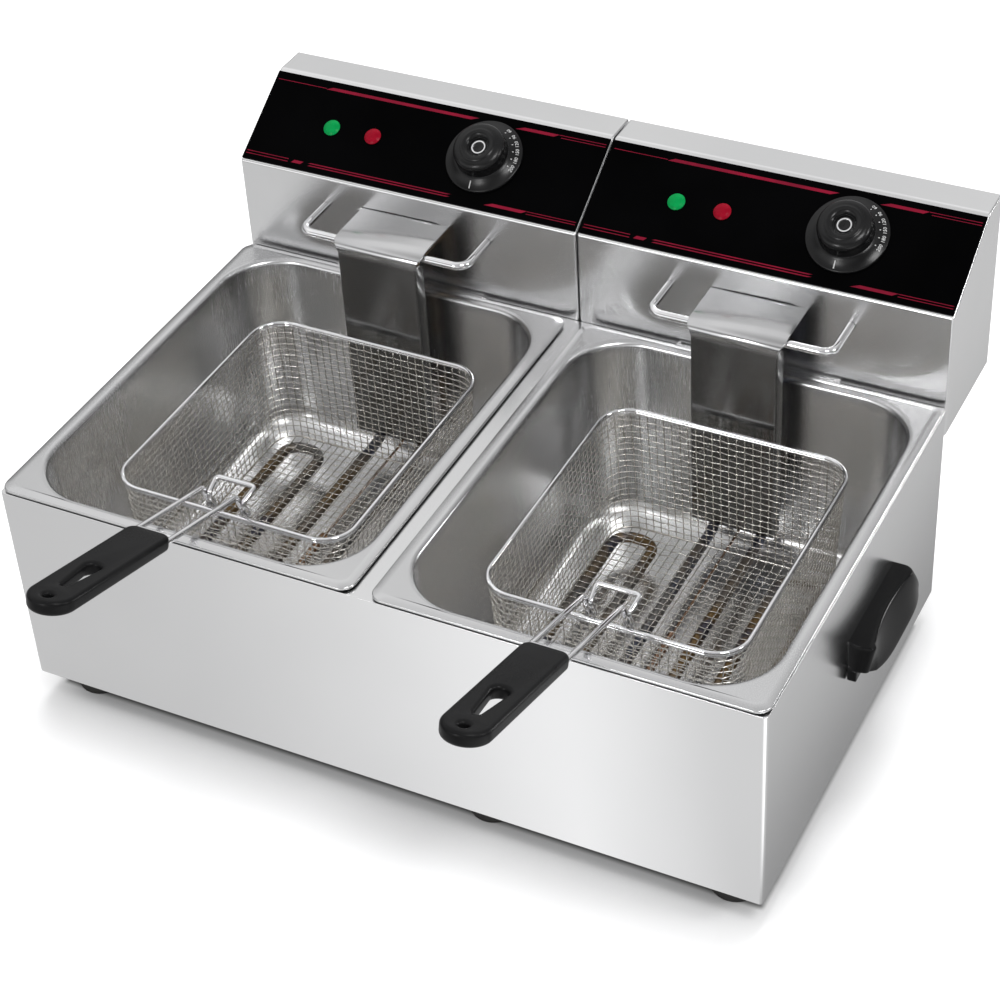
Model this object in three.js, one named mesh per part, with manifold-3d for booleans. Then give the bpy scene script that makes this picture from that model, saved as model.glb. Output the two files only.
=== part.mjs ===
// Countertop deep fryer with two lift-out oil tanks, in millimetres, +Z up.
//
// While it is built, X runs from the left tank to the right one, Y from the front panel (0)
// to the back, and Z up from the table (0). The last lines move the finished group so that
// its origin is the middle of its footprint, at table height.

import * as THREE from 'three';
import { mergeVertices } from 'three/addons/utils/BufferGeometryUtils.js';
import Module from 'manifold-3d';

const wasm = await Module();
wasm.setup();

// ---- Clearances, sheet and fineness ---------------------------------------------------

const CLEARANCE = 0.3;          // between pieces that seat on or pass through each other
const SHEET = 1.2;              // stainless sheet of the housing, heads and element covers
const CORNER_STEPS = 3;         // half the flat steps in a quarter turn of a sheet corner
const BEND_STEPS = 3;           // flat steps in a bend of a wire or tube
const WIRE_SIDES = 8;           // sides of a wire's or tube's section
const ROUND_SIDES = 24;         // sides of a turned piece

// ---- Oil tanks: half-size gastronorm pans ---------------------------------------------

const TANK_WIDTH = 244;         // inside
const TANK_LENGTH = 302;        // inside, front to back
const TANK_CORNER = 44;
const TANK_DEPTH = 150;
const FLANGE_SIDE = 12;         // flange beside the tank
const FLANGE_END = 11;          // and before and behind it
const FLANGE_CORNER = 10;
const TANK_WALL = 1;
const TANK_FLOOR_RADIUS = 16;
const LIP_RISE = 4;             // the flange stands this far above the edge of its lip
const LIP_RUN = 6;              // and its border slopes down over this width
const LIP_EDGE = 0.8;           // upright edge at the foot of the slope
const LIP_OVERHANG = 1;         // the lip stands past the housing's front and outer sides

// ---- Housing --------------------------------------------------------------------------

const DECK_STRIP = 11;          // deck left bare between the two flanges
const TANK_BOTTOM_GAP = 15.8;   // from the housing's bottom edge up to the tanks' undersides
const HOUSING_FOLD = 3;
const WELL_CLEARANCE = 2.5;     // between a tank's wall and the edge of its well
const RETURN_FLANGE = 8;        // the walls' bottom edges turn in by this much

const FOOT_HEIGHT = 22;         // from the table to the housing
const FOOT_RADIUS = 20;
const FOOT_SOLE_RADIUS = 17;
const FOOT_INSET = 30;          // from the housing's sides to a foot's centre
const MIDDLE_FOOT_OFFSET = 70;  // the middle pair stands this far right of centre
const FOOT_STUD_RADIUS = 2.5;
const FOOT_STUD_LENGTH = 6;

const SIDE_HANDLE_LENGTH = 96;
const SIDE_HANDLE_HEIGHT = 23;
const SIDE_HANDLE_DROP = 57.5;  // from the deck down to its top edge
const SIDE_HANDLE_BACK = 90;    // from the housing's back to the handle's back end
const SIDE_HANDLE_WAIST = 11;   // reach of its top edge at mid-length
const SIDE_HANDLE_TOP_END = 18; // and at its ends
const SIDE_HANDLE_BOW = 22;     // reach of its bottom edge at mid-length
const SIDE_HANDLE_LOW_END = 14; // and at its ends
const SIDE_HANDLE_SLANT = 8;    // its back end's top is this much shorter
const SIDE_HANDLE_WALL = 6;     // bakelite around the finger recess
const SIDE_HANDLE_STEPS = 10;   // flat steps along its outer face
const HANDLE_LUG_LENGTH = 14;
const HANDLE_LUG_DROP = 9;
const HANDLE_LUG_THICKNESS = 7;

// ---- Control heads --------------------------------------------------------------------

const HEAD_DEPTH = 92.5;
const HEAD_DROP = 23.2;         // the head hangs this far below the deck
const HEAD_SPLIT = 1;           // gap between the two heads
const HEAD_STANDOFF = 0.5;      // gap between the housing's back and the heads
const FACE_RISE = 72.4;         // upright front, above the deck
const PANEL_RUN = 67.6;         // the sloping face's run towards the back
const PANEL_RISE = 41.8;        // and its rise
const PANEL_THICKNESS = 0.8;
const PANEL_MARGIN = 2;         // steel left bare at the panel's upper and lower folds
const PANEL_SIDE_MARGIN = 0.6;

const HOOK_WIDTH = 120;
const HOOK_LEG = 14;            // how far the hook reaches down inside the housing
const HOOK_TAB = 12;

const KNOB_OFFSET = 49;         // right of the head's middle
const KNOB_RADIUS = 28.7;       // skirt
const KNOB_SKIRT_EDGE = 2;
const KNOB_SKIRT_RISE = 6;
const KNOB_CROWN_RADIUS = 19;
const KNOB_HEIGHT = 21;
const KNOB_DRAFT = 1;           // the crown narrows by this much on the way up
const KNOB_SHOULDER = 3;        // height of its rounded shoulder
const KNOB_SHOULDER_IN = 5.4;   // and the shoulder's width
const KNOB_LEDGE = 2.1;         // flat ring around the dish
const KNOB_DISH_SLOPE = 2;      // run of the dish's sides
const KNOB_DISH_DEPTH = 4;
const KNOB_WEB = 3;             // between the spindle's socket and the cap's seat
const CAP_RADIUS = 5.4;
const CAP_THICKNESS = 2;
const CAP_EDGE = 0.5;
const SPINDLE_RADIUS = 3;
const SPINDLE_SEAT = 12;        // depth of the spindle's bore in the thermostat's bush
const BUSH_RADIUS = 5;
const THERMOSTAT_SIDE = 42;
const THERMOSTAT_DEPTH = 27;

const POWER_LAMP_OFFSET = -74.7;
const HEAT_LAMP_OFFSET = -40.6;
const LAMP_RADIUS = 6.3;
const LAMP_RISE = 2.4;
const LAMP_BEZEL = 0.8;         // upright edge of the lens
const LAMP_CROWN_RADIUS = 4.7;  // where its top starts to flatten
const LAMP_CROWN_DROP = 0.4;
const LAMP_STEM_RADIUS = 4.6;
const LAMP_STEM_LENGTH = 20;

const HANGER_SPAN = 132.4;      // between the two holes of the hanger rod
const HANGER_HEIGHT = 49.3;     // above the deck
const HANGER_RADIUS = 3;
const HANGER_BEND = 9;
const HANGER_TAIL = 8;          // rod left inside the head

const COVER_WIDTH = 70.5;       // element cover's top plate
const COVER_TAPER = 3.75;       // it narrows by this much on each side
const COVER_TAPER_TOP = 1.8;    // from this far below its top
const COVER_TAPER_BOTTOM = 6.8; // down to here
const COVER_BEND_RUN = 16;      // its bend starts this far behind the upright plate
const COVER_BEND_DROP = 6.6;    // and ends this far below the top
const COVER_TAIL = 6;           // plate left inside the head
const COVER_END_GAP = 10;       // between its lower end and the element
const COVER_LEG_GAP = 10.8;     // between the upright plate and the element's legs
const COVER_ROD_GAP = 1.3;      // between its top plate and the hanger rod
const COVER_ROD_SETBACK = 5.3;  // between its upright plate and the hanger rod
const COVER_FLANGE = 12;
const COVER_FLANGE_GAP = 2.8;   // between the hanger rod and the side flanges

const ELEMENT_RADIUS = 4;
const ELEMENT_LEG_OFFSET = 18;
const ELEMENT_LEG_HEIGHT = 36;  // where the legs enter the head, above the deck
const ELEMENT_LEG_GAP = 11.5;   // between the legs and the tank's back wall
const ELEMENT_RISE = 17.9;      // from the tank's floor to the runs' middles
const ELEMENT_PITCH = 30;       // between neighbouring runs
const ELEMENT_STRAIGHT = 6;     // straight stretch between the two bends of a turn
const ELEMENT_TAIL = 16;        // cold end left inside the head
const ELEMENT_END_SPACE = 14;   // between the runs' ends and the basket's ends, in plan

const BULB_RADIUS = 3;
const BULB_LENGTH = 80;
const BULB_SETBACK = 23.5;      // from the element's front run back to the bulb
const CAPILLARY_RADIUS = 1;
const CAPILLARY_BEND = 6;
const CAPILLARY_RUN = 22;       // stretch inside the head before it turns to the thermostat

const TERMINAL_WIDTH = 54;
const TERMINAL_DEPTH = 18;
const TERMINAL_HEIGHT = 20;
const TERMINAL_FROM_BACK = 26;

const GLAND_OFFSET = 92;        // right of the head's middle
const GLAND_HEIGHT = 10;        // above the deck
const GLAND_THREAD_RADIUS = 8;
const GLAND_NUT_RADIUS = 12;
const GLAND_NUT_THICKNESS = 6;
const GLAND_DOME_RADIUS = 9.5;
const GLAND_REACH = 20;
const GLAND_BORE_RADIUS = 4;

const RESET_OFFSET = -60;
const RESET_HEIGHT = 40;        // above the deck
const RESET_RADIUS = 4;
const RESET_PROUD = 4;          // the button stands out of the back cover by this much
const RESET_TRAVEL = 2.5;
const LIMIT_SWITCH_RADIUS = 10;
const LIMIT_SWITCH_DEPTH = 18;

// ---- Baskets --------------------------------------------------------------------------

const BASKET_SIDE_GAP = 31;     // between the rim and the tank's sides
const BASKET_FRONT_GAP = 49.5;  // between the rim and the tank's front wall
const BASKET_CORNER = 24;
const BASKET_TAPER = 5;
const BASKET_WALL = 2.4;
const BASKET_REAR_GAP = 8;      // between the rim and the element cover
const RIM_DROP = 22.5;          // the rim's middle lies this far below the deck
const RIM_WIRE = 4.5;
const RIM_EDGE = 1.35;          // rounding of the rim's edges

const HANDLE_TILT = THREE.MathUtils.degToRad(16);
const HANDLE_WIRE_RADIUS = 2.1;
const HANDLE_WIRE_BEND = 5;
const HANDLE_LEAN = 5;          // their legs lean forward by this much on the way up
const HANDLE_FLANGE_GAP = 3.75; // between the wires and the tank's flange below them
const HANDLE_REACH = 80;        // along the wires, from their bends to the grip
const HANDLE_BAR_SETBACK = 4;   // from the grip to the bar that joins the wires
const GRIP_LENGTH = 122;
const GRIP_WIDTH = 32;
const GRIP_THICKNESS = 10;
const GRIP_EDGE = 1.6;
const GRIP_CORNER = 6;
const GRIP_SOCKET = 24;         // depth of the wires' sockets in the grip
const GRIP_CHEEK = 0.35;        // grip left beside each socket
const GRIP_SLOT_FROM_END = 26;
const GRIP_SLOT_LENGTH = 36;
const GRIP_SLOT_RADIUS = 5.5;   // at the wide end
const GRIP_SLOT_TIP_RADIUS = 2;
const GRIP_HOLE_FROM_END = 11;
const GRIP_HOLE_RADIUS = 3;

const CATCH_WIRE_RADIUS = 1.75;
const CATCH_BAR_SPAN = 30;      // length of the catch's cross bar
const CATCH_LEAN = 5;           // its legs lean forward by this much on the way up
const CATCH_PEAK = 14;          // height of their tops above the rim's middle
const CATCH_RUN = 15;           // from there back to the cross bar
const CATCH_RISE = 4;           // and up to it
const CATCH_BEND = 2.5;

// ---- Places worked out from the sizes above -------------------------------------------

const flangeWidth = TANK_WIDTH + 2 * FLANGE_SIDE;
const flangeDepth = TANK_LENGTH + 2 * FLANGE_END;
const flangeTop = FOOT_HEIGHT + TANK_BOTTOM_GAP + TANK_DEPTH;
const tankX = (DECK_STRIP + flangeWidth) / 2;
const tankY = flangeDepth / 2 - LIP_OVERHANG;
const tankFront = tankY - TANK_LENGTH / 2;
const tankBack = tankY + TANK_LENGTH / 2;
const hookSlot = SHEET + 2 * CLEARANCE;
const housingWidth = 2 * (flangeWidth - LIP_OVERHANG) + DECK_STRIP;
const housingDepth = flangeDepth - LIP_OVERHANG + hookSlot + SHEET;
const deckTop = flangeTop - LIP_RISE - CLEARANCE;

const headFront = housingDepth + HEAD_STANDOFF;
const headWidth = (housingWidth - HEAD_SPLIT) / 2;
const headX = (housingWidth + HEAD_SPLIT) / 4;
const headTop = FACE_RISE + PANEL_RISE;
const panelAngle = Math.atan2(PANEL_RISE, PANEL_RUN);
const panelLength = Math.hypot(PANEL_RUN, PANEL_RISE);
const panelTop = CLEARANCE + PANEL_THICKNESS;
const backInside = HEAD_DEPTH - SHEET;
const knobDishFloor = KNOB_HEIGHT - KNOB_DISH_DEPTH;
const capSeatFloor = knobDishFloor - CAP_THICKNESS / 2;
const knobSocket = capSeatFloor - KNOB_WEB;

// Heights above the deck, and reaches forward from a head's front face.
const elementZ = flangeTop - TANK_DEPTH + TANK_WALL + ELEMENT_RISE - deckTop;
const legReach = headFront - tankBack + ELEMENT_LEG_GAP + ELEMENT_RADIUS;
const coverReach = legReach + ELEMENT_RADIUS + COVER_LEG_GAP + SHEET;
const hangerReach = coverReach - SHEET - COVER_ROD_SETBACK - HANGER_RADIUS;
const coverTop = HANGER_HEIGHT + HANGER_RADIUS + COVER_ROD_GAP + SHEET;

const basketRear = headFront - coverReach - BASKET_REAR_GAP;
const basketWidth = TANK_WIDTH - 2 * BASKET_SIDE_GAP;
const basketDepth = basketRear - tankFront - BASKET_FRONT_GAP;
const basketY = basketRear - basketDepth / 2;
const basketHeight = -RIM_DROP - (elementZ + ELEMENT_RADIUS + CLEARANCE);

// ---- Materials ------------------------------------------------------------------------

const material = (color, roughness, metalness) => (
  new THREE.MeshStandardMaterial({ color, roughness, metalness })
);
const brushedSteel = () => material(0xc4c6c8, 0.32, 1);
const polishedSteel = () => material(0xb2b5b8, 0.16, 1);
const chrome = () => material(0xdcdedf, 0.08, 1);
const wireSteel = () => material(0xc9c9c4, 0.25, 1);
const darkSteel = () => material(0x6e6a66, 0.4, 1);
const blackPanel = () => material(0x0b0b0c, 0.12, 0);
const bakelite = () => material(0x151515, 0.38, 0);
const gripPlastic = () => material(0x1d1d1e, 0.5, 0);
const rubber = () => material(0x2a2a2a, 0.85, 0);
const greenLens = () => material(0x11b45c, 0.15, 0);
const redLens = () => material(0xc8102e, 0.15, 0);
const ivoryCeramic = () => material(0xe6e0d0, 0.55, 0);
const copperTone = () => material(0xb87040, 0.35, 1);

// ---- Shape and solid helpers ----------------------------------------------------------

// A rectangle with rounded corners, centred on the origin.
function roundedRect(width, depth, radius) {
  const x = width / 2;
  const y = depth / 2;
  const r = Math.min(radius, x, y);
  const quarter = Math.PI / 2;
  const shape = new THREE.Shape();
  shape.absarc(x - r, y - r, r, 0, quarter);
  shape.absarc(r - x, y - r, r, quarter, 2 * quarter);
  shape.absarc(r - x, r - y, r, 2 * quarter, 3 * quarter);
  shape.absarc(x - r, r - y, r, 3 * quarter, 4 * quarter);
  return shape;
}

function polygon(points) {
  return new THREE.Shape(points.map(([x, y]) => new THREE.Vector2(x, y)));
}

// A shape pushed up from height `bottom` to height `top`.
function prism(shape, bottom, top) {
  const options = { depth: top - bottom, bevelEnabled: false, curveSegments: CORNER_STEPS };
  return new THREE.ExtrudeGeometry(shape, options).translate(0, 0, bottom);
}

// A shape drawn in Y and Z, pushed along X and centred on X = 0.
function profileAlongX(shape, width) {
  const options = { depth: width, bevelEnabled: false, curveSegments: CORNER_STEPS };
  const turn = new THREE.Matrix4().makeBasis(
    new THREE.Vector3(0, 1, 0),
    new THREE.Vector3(0, 0, 1),
    new THREE.Vector3(1, 0, 0),
  );
  const geometry = new THREE.ExtrudeGeometry(shape, options);
  return geometry.translate(0, 0, -width / 2).applyMatrix4(turn);
}

// A shape pushed up from Z = 0 with both its ends' edges eased by `edge`.
function easedPrism(shape, height, edge, steps = 1) {
  return new THREE.ExtrudeGeometry(shape, {
    depth: height - 2 * edge,
    bevelThickness: edge,
    bevelSize: edge,
    bevelOffset: -edge,
    bevelSegments: steps,
    curveSegments: CORNER_STEPS,
  }).translate(0, 0, edge);
}

function box(x0, x1, y0, y1, z0, z1) {
  const geometry = new THREE.BoxGeometry(x1 - x0, y1 - y0, z1 - z0);
  return geometry.translate((x0 + x1) / 2, (y0 + y1) / 2, (z0 + z1) / 2);
}

// A cylinder about the Z axis, from height `bottom` to height `top`.
function drum(radius, bottom, top, sides = ROUND_SIDES) {
  const geometry = new THREE.CylinderGeometry(radius, radius, top - bottom, sides);
  return geometry.rotateX(Math.PI / 2).translate(0, 0, (bottom + top) / 2);
}

// A cylinder along Y, from `front` to `back`.
function drumAlongY(radius, front, back, sides = ROUND_SIDES) {
  return drum(radius, -back, -front, sides).rotateX(Math.PI / 2);
}

// A piece turned about the Z axis from points [radius, height].
function turned(points, sides = ROUND_SIDES) {
  const profile = points.map(([radius, height]) => new THREE.Vector2(radius, height));
  return new THREE.LatheGeometry(profile, sides).rotateX(Math.PI / 2);
}

// The same, turned about the Y axis, with the heights running towards the back.
function turnedAlongY(points, sides = ROUND_SIDES) {
  return turned(points, sides).rotateX(-Math.PI / 2);
}

function solid(geometry) {
  const bare = geometry.clone();
  bare.deleteAttribute('normal');
  bare.deleteAttribute('uv');
  const merged = mergeVertices(bare, 1e-4);
  return new wasm.Manifold(new wasm.Mesh({
    numProp: 3,
    vertProperties: Float32Array.from(merged.getAttribute('position').array),
    triVerts: Uint32Array.from(merged.index.array),
  }));
}

const joined = (...solids) => solids.reduce((sum, next) => sum.add(next));
const cut = (body, ...tools) => tools.reduce((left, tool) => left.subtract(tool), body);

function geometryOf(body) {
  const { numProp, vertProperties, triVerts } = body.getMesh();
  const geometry = new THREE.BufferGeometry();
  geometry.setAttribute('position', new THREE.BufferAttribute(vertProperties, numProp));
  geometry.setIndex(new THREE.BufferAttribute(triVerts, 1));
  geometry.computeVertexNormals();
  return geometry;
}

// Adds a named piece to a group; `body` is a solid or a geometry.
function addPiece(group, name, body, finish) {
  const geometry = body.isBufferGeometry ? body : geometryOf(body);
  const mesh = new THREE.Mesh(geometry, finish);
  mesh.name = name;
  group.add(mesh);
  return mesh;
}

// The centre line of a wire or tube: straight runs between the given points, with a round
// bend at each corner. Only the ends of the runs and the steps of the bends are stations.
class BentLine extends THREE.Curve {
  constructor(points, bend, steps = BEND_STEPS) {
    super();
    this.stations = [];
    const corners = points.map((point) => new THREE.Vector3(...point));
    const last = corners.length - 1;
    const first = corners[1].clone().sub(corners[0]).normalize();
    this.stations.push({ point: corners[0], tangent: first });
    for (let i = 1; i < last; i += 1) {
      this.addBend(corners[i - 1], corners[i], corners[i + 1], bend, steps);
    }
    const final = corners[last].clone().sub(corners[last - 1]).normalize();
    this.stations.push({ point: corners[last], tangent: final });
  }

  addBend(before, corner, after, bend, steps) {
    const inward = corner.clone().sub(before).normalize();
    const outward = after.clone().sub(corner).normalize();
    const angle = inward.angleTo(outward);
    const setback = bend * Math.tan(angle / 2);
    const side = outward.clone().addScaledVector(inward, -inward.dot(outward)).normalize();
    const start = corner.clone().addScaledVector(inward, -setback);
    const centre = start.clone().addScaledVector(side, bend);
    for (let step = 0; step <= steps; step += 1) {
      const turn = (angle * step) / steps;
      const point = centre.clone();
      point.addScaledVector(side, -bend * Math.cos(turn));
      point.addScaledVector(inward, bend * Math.sin(turn));
      const tangent = inward.clone().multiplyScalar(Math.cos(turn));
      tangent.addScaledVector(side, Math.sin(turn));
      this.stations.push({ point, tangent });
    }
  }

  stationAt(t) {
    return this.stations[Math.round(t * (this.stations.length - 1))];
  }

  getPoint(t, target = new THREE.Vector3()) {
    return target.copy(this.stationAt(t).point);
  }

  getPointAt(u, target) {
    return this.getPoint(u, target);
  }

  getTangentAt(u, target = new THREE.Vector3()) {
    return target.copy(this.stationAt(u).tangent);
  }

  getSpacedPoints() {
    return this.stations.map(({ point }) => point);
  }
}

// A round wire or tube along a bent line.
function wire(points, radius, bend, steps = BEND_STEPS, sides = WIRE_SIDES) {
  const path = new BentLine(points, bend, steps);
  const section = polygon(Array.from({ length: sides }, (_, i) => {
    const angle = ((i + 0.5) * 2 * Math.PI) / sides;
    return [radius * Math.cos(angle), radius * Math.sin(angle)];
  }));
  return new THREE.ExtrudeGeometry(section, {
    steps: path.stations.length - 1,
    extrudePath: path,
    bevelEnabled: false,
  });
}

const mirrored = (points) => points.map(([x, y, z]) => [-x, y, z]).reverse();

const fryer = new THREE.Group();
const SIDES = [{ side: 'left', sign: -1 }, { side: 'right', sign: 1 }];

// ---- Housing, base plate and feet -----------------------------------------------------

function buildHousing() {
  const plan = roundedRect(housingWidth, housingDepth, HOUSING_FOLD);
  const insidePlan = roundedRect(
    housingWidth - 2 * SHEET,
    housingDepth - 2 * SHEET,
    HOUSING_FOLD - SHEET,
  );
  const mouthPlan = roundedRect(
    housingWidth - 2 * (SHEET + RETURN_FLANGE),
    housingDepth - 2 * (SHEET + RETURN_FLANGE),
    HOUSING_FOLD,
  );
  const bottom = FOOT_HEIGHT;
  const middle = housingDepth / 2;
  let shell = cut(
    solid(prism(plan, bottom, deckTop).translate(0, middle, 0)),
    solid(prism(insidePlan, bottom + SHEET, deckTop - SHEET).translate(0, middle, 0)),
    solid(prism(mouthPlan, bottom - SHEET, bottom + 2 * SHEET).translate(0, middle, 0)),
  );
  const outerWall = 2 * (TANK_WALL + WELL_CLEARANCE);
  const wellPlan = roundedRect(
    TANK_WIDTH + outerWall,
    TANK_LENGTH + outerWall,
    TANK_CORNER + outerWall / 2,
  );
  const slotBack = housingDepth - SHEET;
  const slotHalf = HOOK_WIDTH / 2 + CLEARANCE;
  for (const { sign } of SIDES) {
    const well = prism(wellPlan, deckTop - 2 * SHEET, deckTop + SHEET);
    const hookX = sign * headX;
    const slot = box(
      hookX - slotHalf, hookX + slotHalf,
      slotBack - hookSlot, slotBack,
      deckTop - 2 * SHEET, deckTop + SHEET,
    );
    shell = cut(shell, solid(well.translate(sign * tankX, tankY, 0)), solid(slot));
  }
  addPiece(fryer, 'housing_shell', shell, brushedSteel());
}

const footRows = [
  { row: 'front', y: FOOT_INSET },
  { row: 'rear', y: housingDepth - FOOT_INSET },
];
const footColumns = [
  { column: 'left', x: FOOT_INSET - housingWidth / 2 },
  { column: 'middle', x: MIDDLE_FOOT_OFFSET },
  { column: 'right', x: housingWidth / 2 - FOOT_INSET },
];
const basePlateBottom = FOOT_HEIGHT + SHEET + CLEARANCE;

function buildBasePlate() {
  const slack = 2 * (SHEET + CLEARANCE);
  const plan = roundedRect(
    housingWidth - slack,
    housingDepth - slack,
    HOUSING_FOLD - SHEET,
  );
  let plate = solid(prism(plan, basePlateBottom, basePlateBottom + SHEET));
  for (const { y } of footRows) {
    for (const { x } of footColumns) {
      const hole = drum(
        FOOT_STUD_RADIUS + CLEARANCE,
        basePlateBottom - SHEET,
        basePlateBottom + 2 * SHEET,
        ROUND_SIDES / 2,
      );
      plate = cut(plate, solid(hole.translate(x, y - housingDepth / 2, 0)));
    }
  }
  const mesh = addPiece(fryer, 'base_plate', plate, brushedSteel());
  mesh.position.y = housingDepth / 2;
}

function buildFeet() {
  const top = basePlateBottom - CLEARANCE;
  const profile = [
    [0, 0],
    [FOOT_SOLE_RADIUS - 1, 0],
    [FOOT_SOLE_RADIUS, 1],
    [FOOT_RADIUS, top - 3],
    [FOOT_RADIUS, top],
    [FOOT_STUD_RADIUS, top],
    [FOOT_STUD_RADIUS, top + FOOT_STUD_LENGTH],
    [0, top + FOOT_STUD_LENGTH],
  ];
  for (const { row, y } of footRows) {
    for (const { column, x } of footColumns) {
      const foot = turned(profile, ROUND_SIDES / 2);
      const mesh = addPiece(fryer, `foot_${row}_${column}`, foot, rubber());
      mesh.position.set(x, y, 0);
    }
  }
}

// ---- Carrying handles on the housing's sides ------------------------------------------

// The outer face's distance from the wall: waisted along the top, bowed along the bottom.
// `along` runs from -1 at one end of the handle to 1 at the other, `up` from 0 to 1.
function sideHandleReach(along, up) {
  const { lerp } = THREE.MathUtils;
  const low = lerp(SIDE_HANDLE_BOW, SIDE_HANDLE_LOW_END, along ** 4);
  const high = lerp(SIDE_HANDLE_WAIST, SIDE_HANDLE_TOP_END, along ** 2);
  return lerp(low, high, up);
}

// The handle's block, or with a `wall` the recess inside it, open towards the housing's wall
// (X = 0) and from below. Y = 0 is the handle's middle and Z = 0 its underside.
function sideHandleBlock(wall) {
  const length = SIDE_HANDLE_LENGTH - 2 * wall;
  const height = SIDE_HANDLE_HEIGHT;
  const geometry = new THREE.BoxGeometry(1, length, height, 1, SIDE_HANDLE_STEPS, 2);
  const positions = geometry.getAttribute('position');
  for (let i = 0; i < positions.count; i += 1) {
    const along = (2 * positions.getY(i)) / SIDE_HANDLE_LENGTH;
    const up = positions.getZ(i) / height + 0.5;
    const outer = sideHandleReach(along, up) - wall;
    const slant = SIDE_HANDLE_SLANT * up * Math.max(along, 0) ** 2;
    positions.setX(i, positions.getX(i) > 0 ? outer : -wall);
    positions.setY(i, positions.getY(i) - slant);
  }
  return solid(geometry.translate(0, 0, height / 2 - wall));
}

function buildSideHandles() {
  const half = SIDE_HANDLE_LENGTH / 2;
  const lug = (end) => solid(box(
    0, HANDLE_LUG_THICKNESS,
    end - HANDLE_LUG_LENGTH / 2, end + HANDLE_LUG_LENGTH / 2,
    -HANDLE_LUG_DROP, SIDE_HANDLE_WALL,
  ));
  const lugEnd = half - HANDLE_LUG_LENGTH / 2;
  const recess = cut(sideHandleBlock(SIDE_HANDLE_WALL), lug(-lugEnd), lug(lugEnd));
  const handle = joined(cut(sideHandleBlock(0), recess), lug(-lugEnd), lug(lugEnd));
  for (const { side, sign } of SIDES) {
    const mesh = addPiece(fryer, `side_handle_${side}`, handle, bakelite());
    mesh.scale.x = sign;
    mesh.position.set(
      sign * (housingWidth / 2 + CLEARANCE),
      housingDepth - SIDE_HANDLE_BACK - half,
      deckTop - SIDE_HANDLE_DROP - SIDE_HANDLE_HEIGHT,
    );
  }
}

// ---- Oil tanks ------------------------------------------------------------------------

// The deep-drawn pan: upright walls and a floor with rounded edges, down from Z = 0.
function panBlock(width, length, corner, depth, floorRadius) {
  const block = new THREE.ExtrudeGeometry(roundedRect(width, length, corner), {
    depth,
    bevelThickness: floorRadius,
    bevelSize: floorRadius,
    bevelOffset: -floorRadius,
    bevelSegments: 2,
    curveSegments: CORNER_STEPS,
  }).translate(0, 0, floorRadius - depth);
  return cut(solid(block), solid(box(-width, width, -length, length, 0, depth)));
}

// The flange's block: an upright edge, then a border that slopes up to the flat top.
function flangeBlock(width, depth, corner, top) {
  const slope = LIP_RISE - LIP_EDGE;
  const block = new THREE.ExtrudeGeometry(roundedRect(width, depth, corner), {
    depth: LIP_EDGE,
    bevelThickness: slope,
    bevelSize: LIP_RUN,
    bevelOffset: -LIP_RUN,
    bevelSegments: 1,
    curveSegments: CORNER_STEPS,
  }).translate(0, 0, top - LIP_EDGE - slope);
  const under = box(-width, width, -depth, depth, top - 3 * LIP_RISE, top - LIP_RISE);
  return cut(solid(block), solid(under));
}

function buildTanks() {
  const outerPan = panBlock(
    TANK_WIDTH + 2 * TANK_WALL,
    TANK_LENGTH + 2 * TANK_WALL,
    TANK_CORNER + TANK_WALL,
    TANK_DEPTH,
    TANK_FLOOR_RADIUS + TANK_WALL,
  );
  const inner = TANK_DEPTH - TANK_WALL;
  const innerPan = panBlock(TANK_WIDTH, TANK_LENGTH, TANK_CORNER, inner, TANK_FLOOR_RADIUS);
  const mouth = prism(roundedRect(TANK_WIDTH, TANK_LENGTH, TANK_CORNER), -LIP_RISE, LIP_RISE);
  const flange = cut(
    flangeBlock(flangeWidth, flangeDepth, FLANGE_CORNER, 0),
    flangeBlock(
      flangeWidth - 2 * TANK_WALL,
      flangeDepth - 2 * TANK_WALL,
      FLANGE_CORNER - TANK_WALL,
      -TANK_WALL,
    ),
  );
  const tank = cut(joined(outerPan, flange), innerPan, solid(mouth));
  for (const { side, sign } of SIDES) {
    const mesh = addPiece(fryer, `oil_tank_${side}`, tank, polishedSteel());
    mesh.position.set(sign * tankX, tankY, flangeTop);
  }
}

// ---- Control heads --------------------------------------------------------------------
// A head's group has its origin on its front face, at deck height, in the middle.

// Points on the sloping face: X along it, Y up the slope, Z out of it.
function panelFrame() {
  const frame = new THREE.Group();
  frame.position.z = FACE_RISE;
  frame.rotation.x = panelAngle;
  frame.updateMatrix();
  return frame;
}

const knobPlace = [KNOB_OFFSET, panelLength / 2];
const lampPlaces = {
  power_lamp: [POWER_LAMP_OFFSET, panelLength / 2],
  heat_lamp: [HEAT_LAMP_OFFSET, panelLength / 2],
};
const hangerX = HANGER_SPAN / 2;
const hookBottom = CLEARANCE;
const hookTop = CLEARANCE + SHEET;

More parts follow.
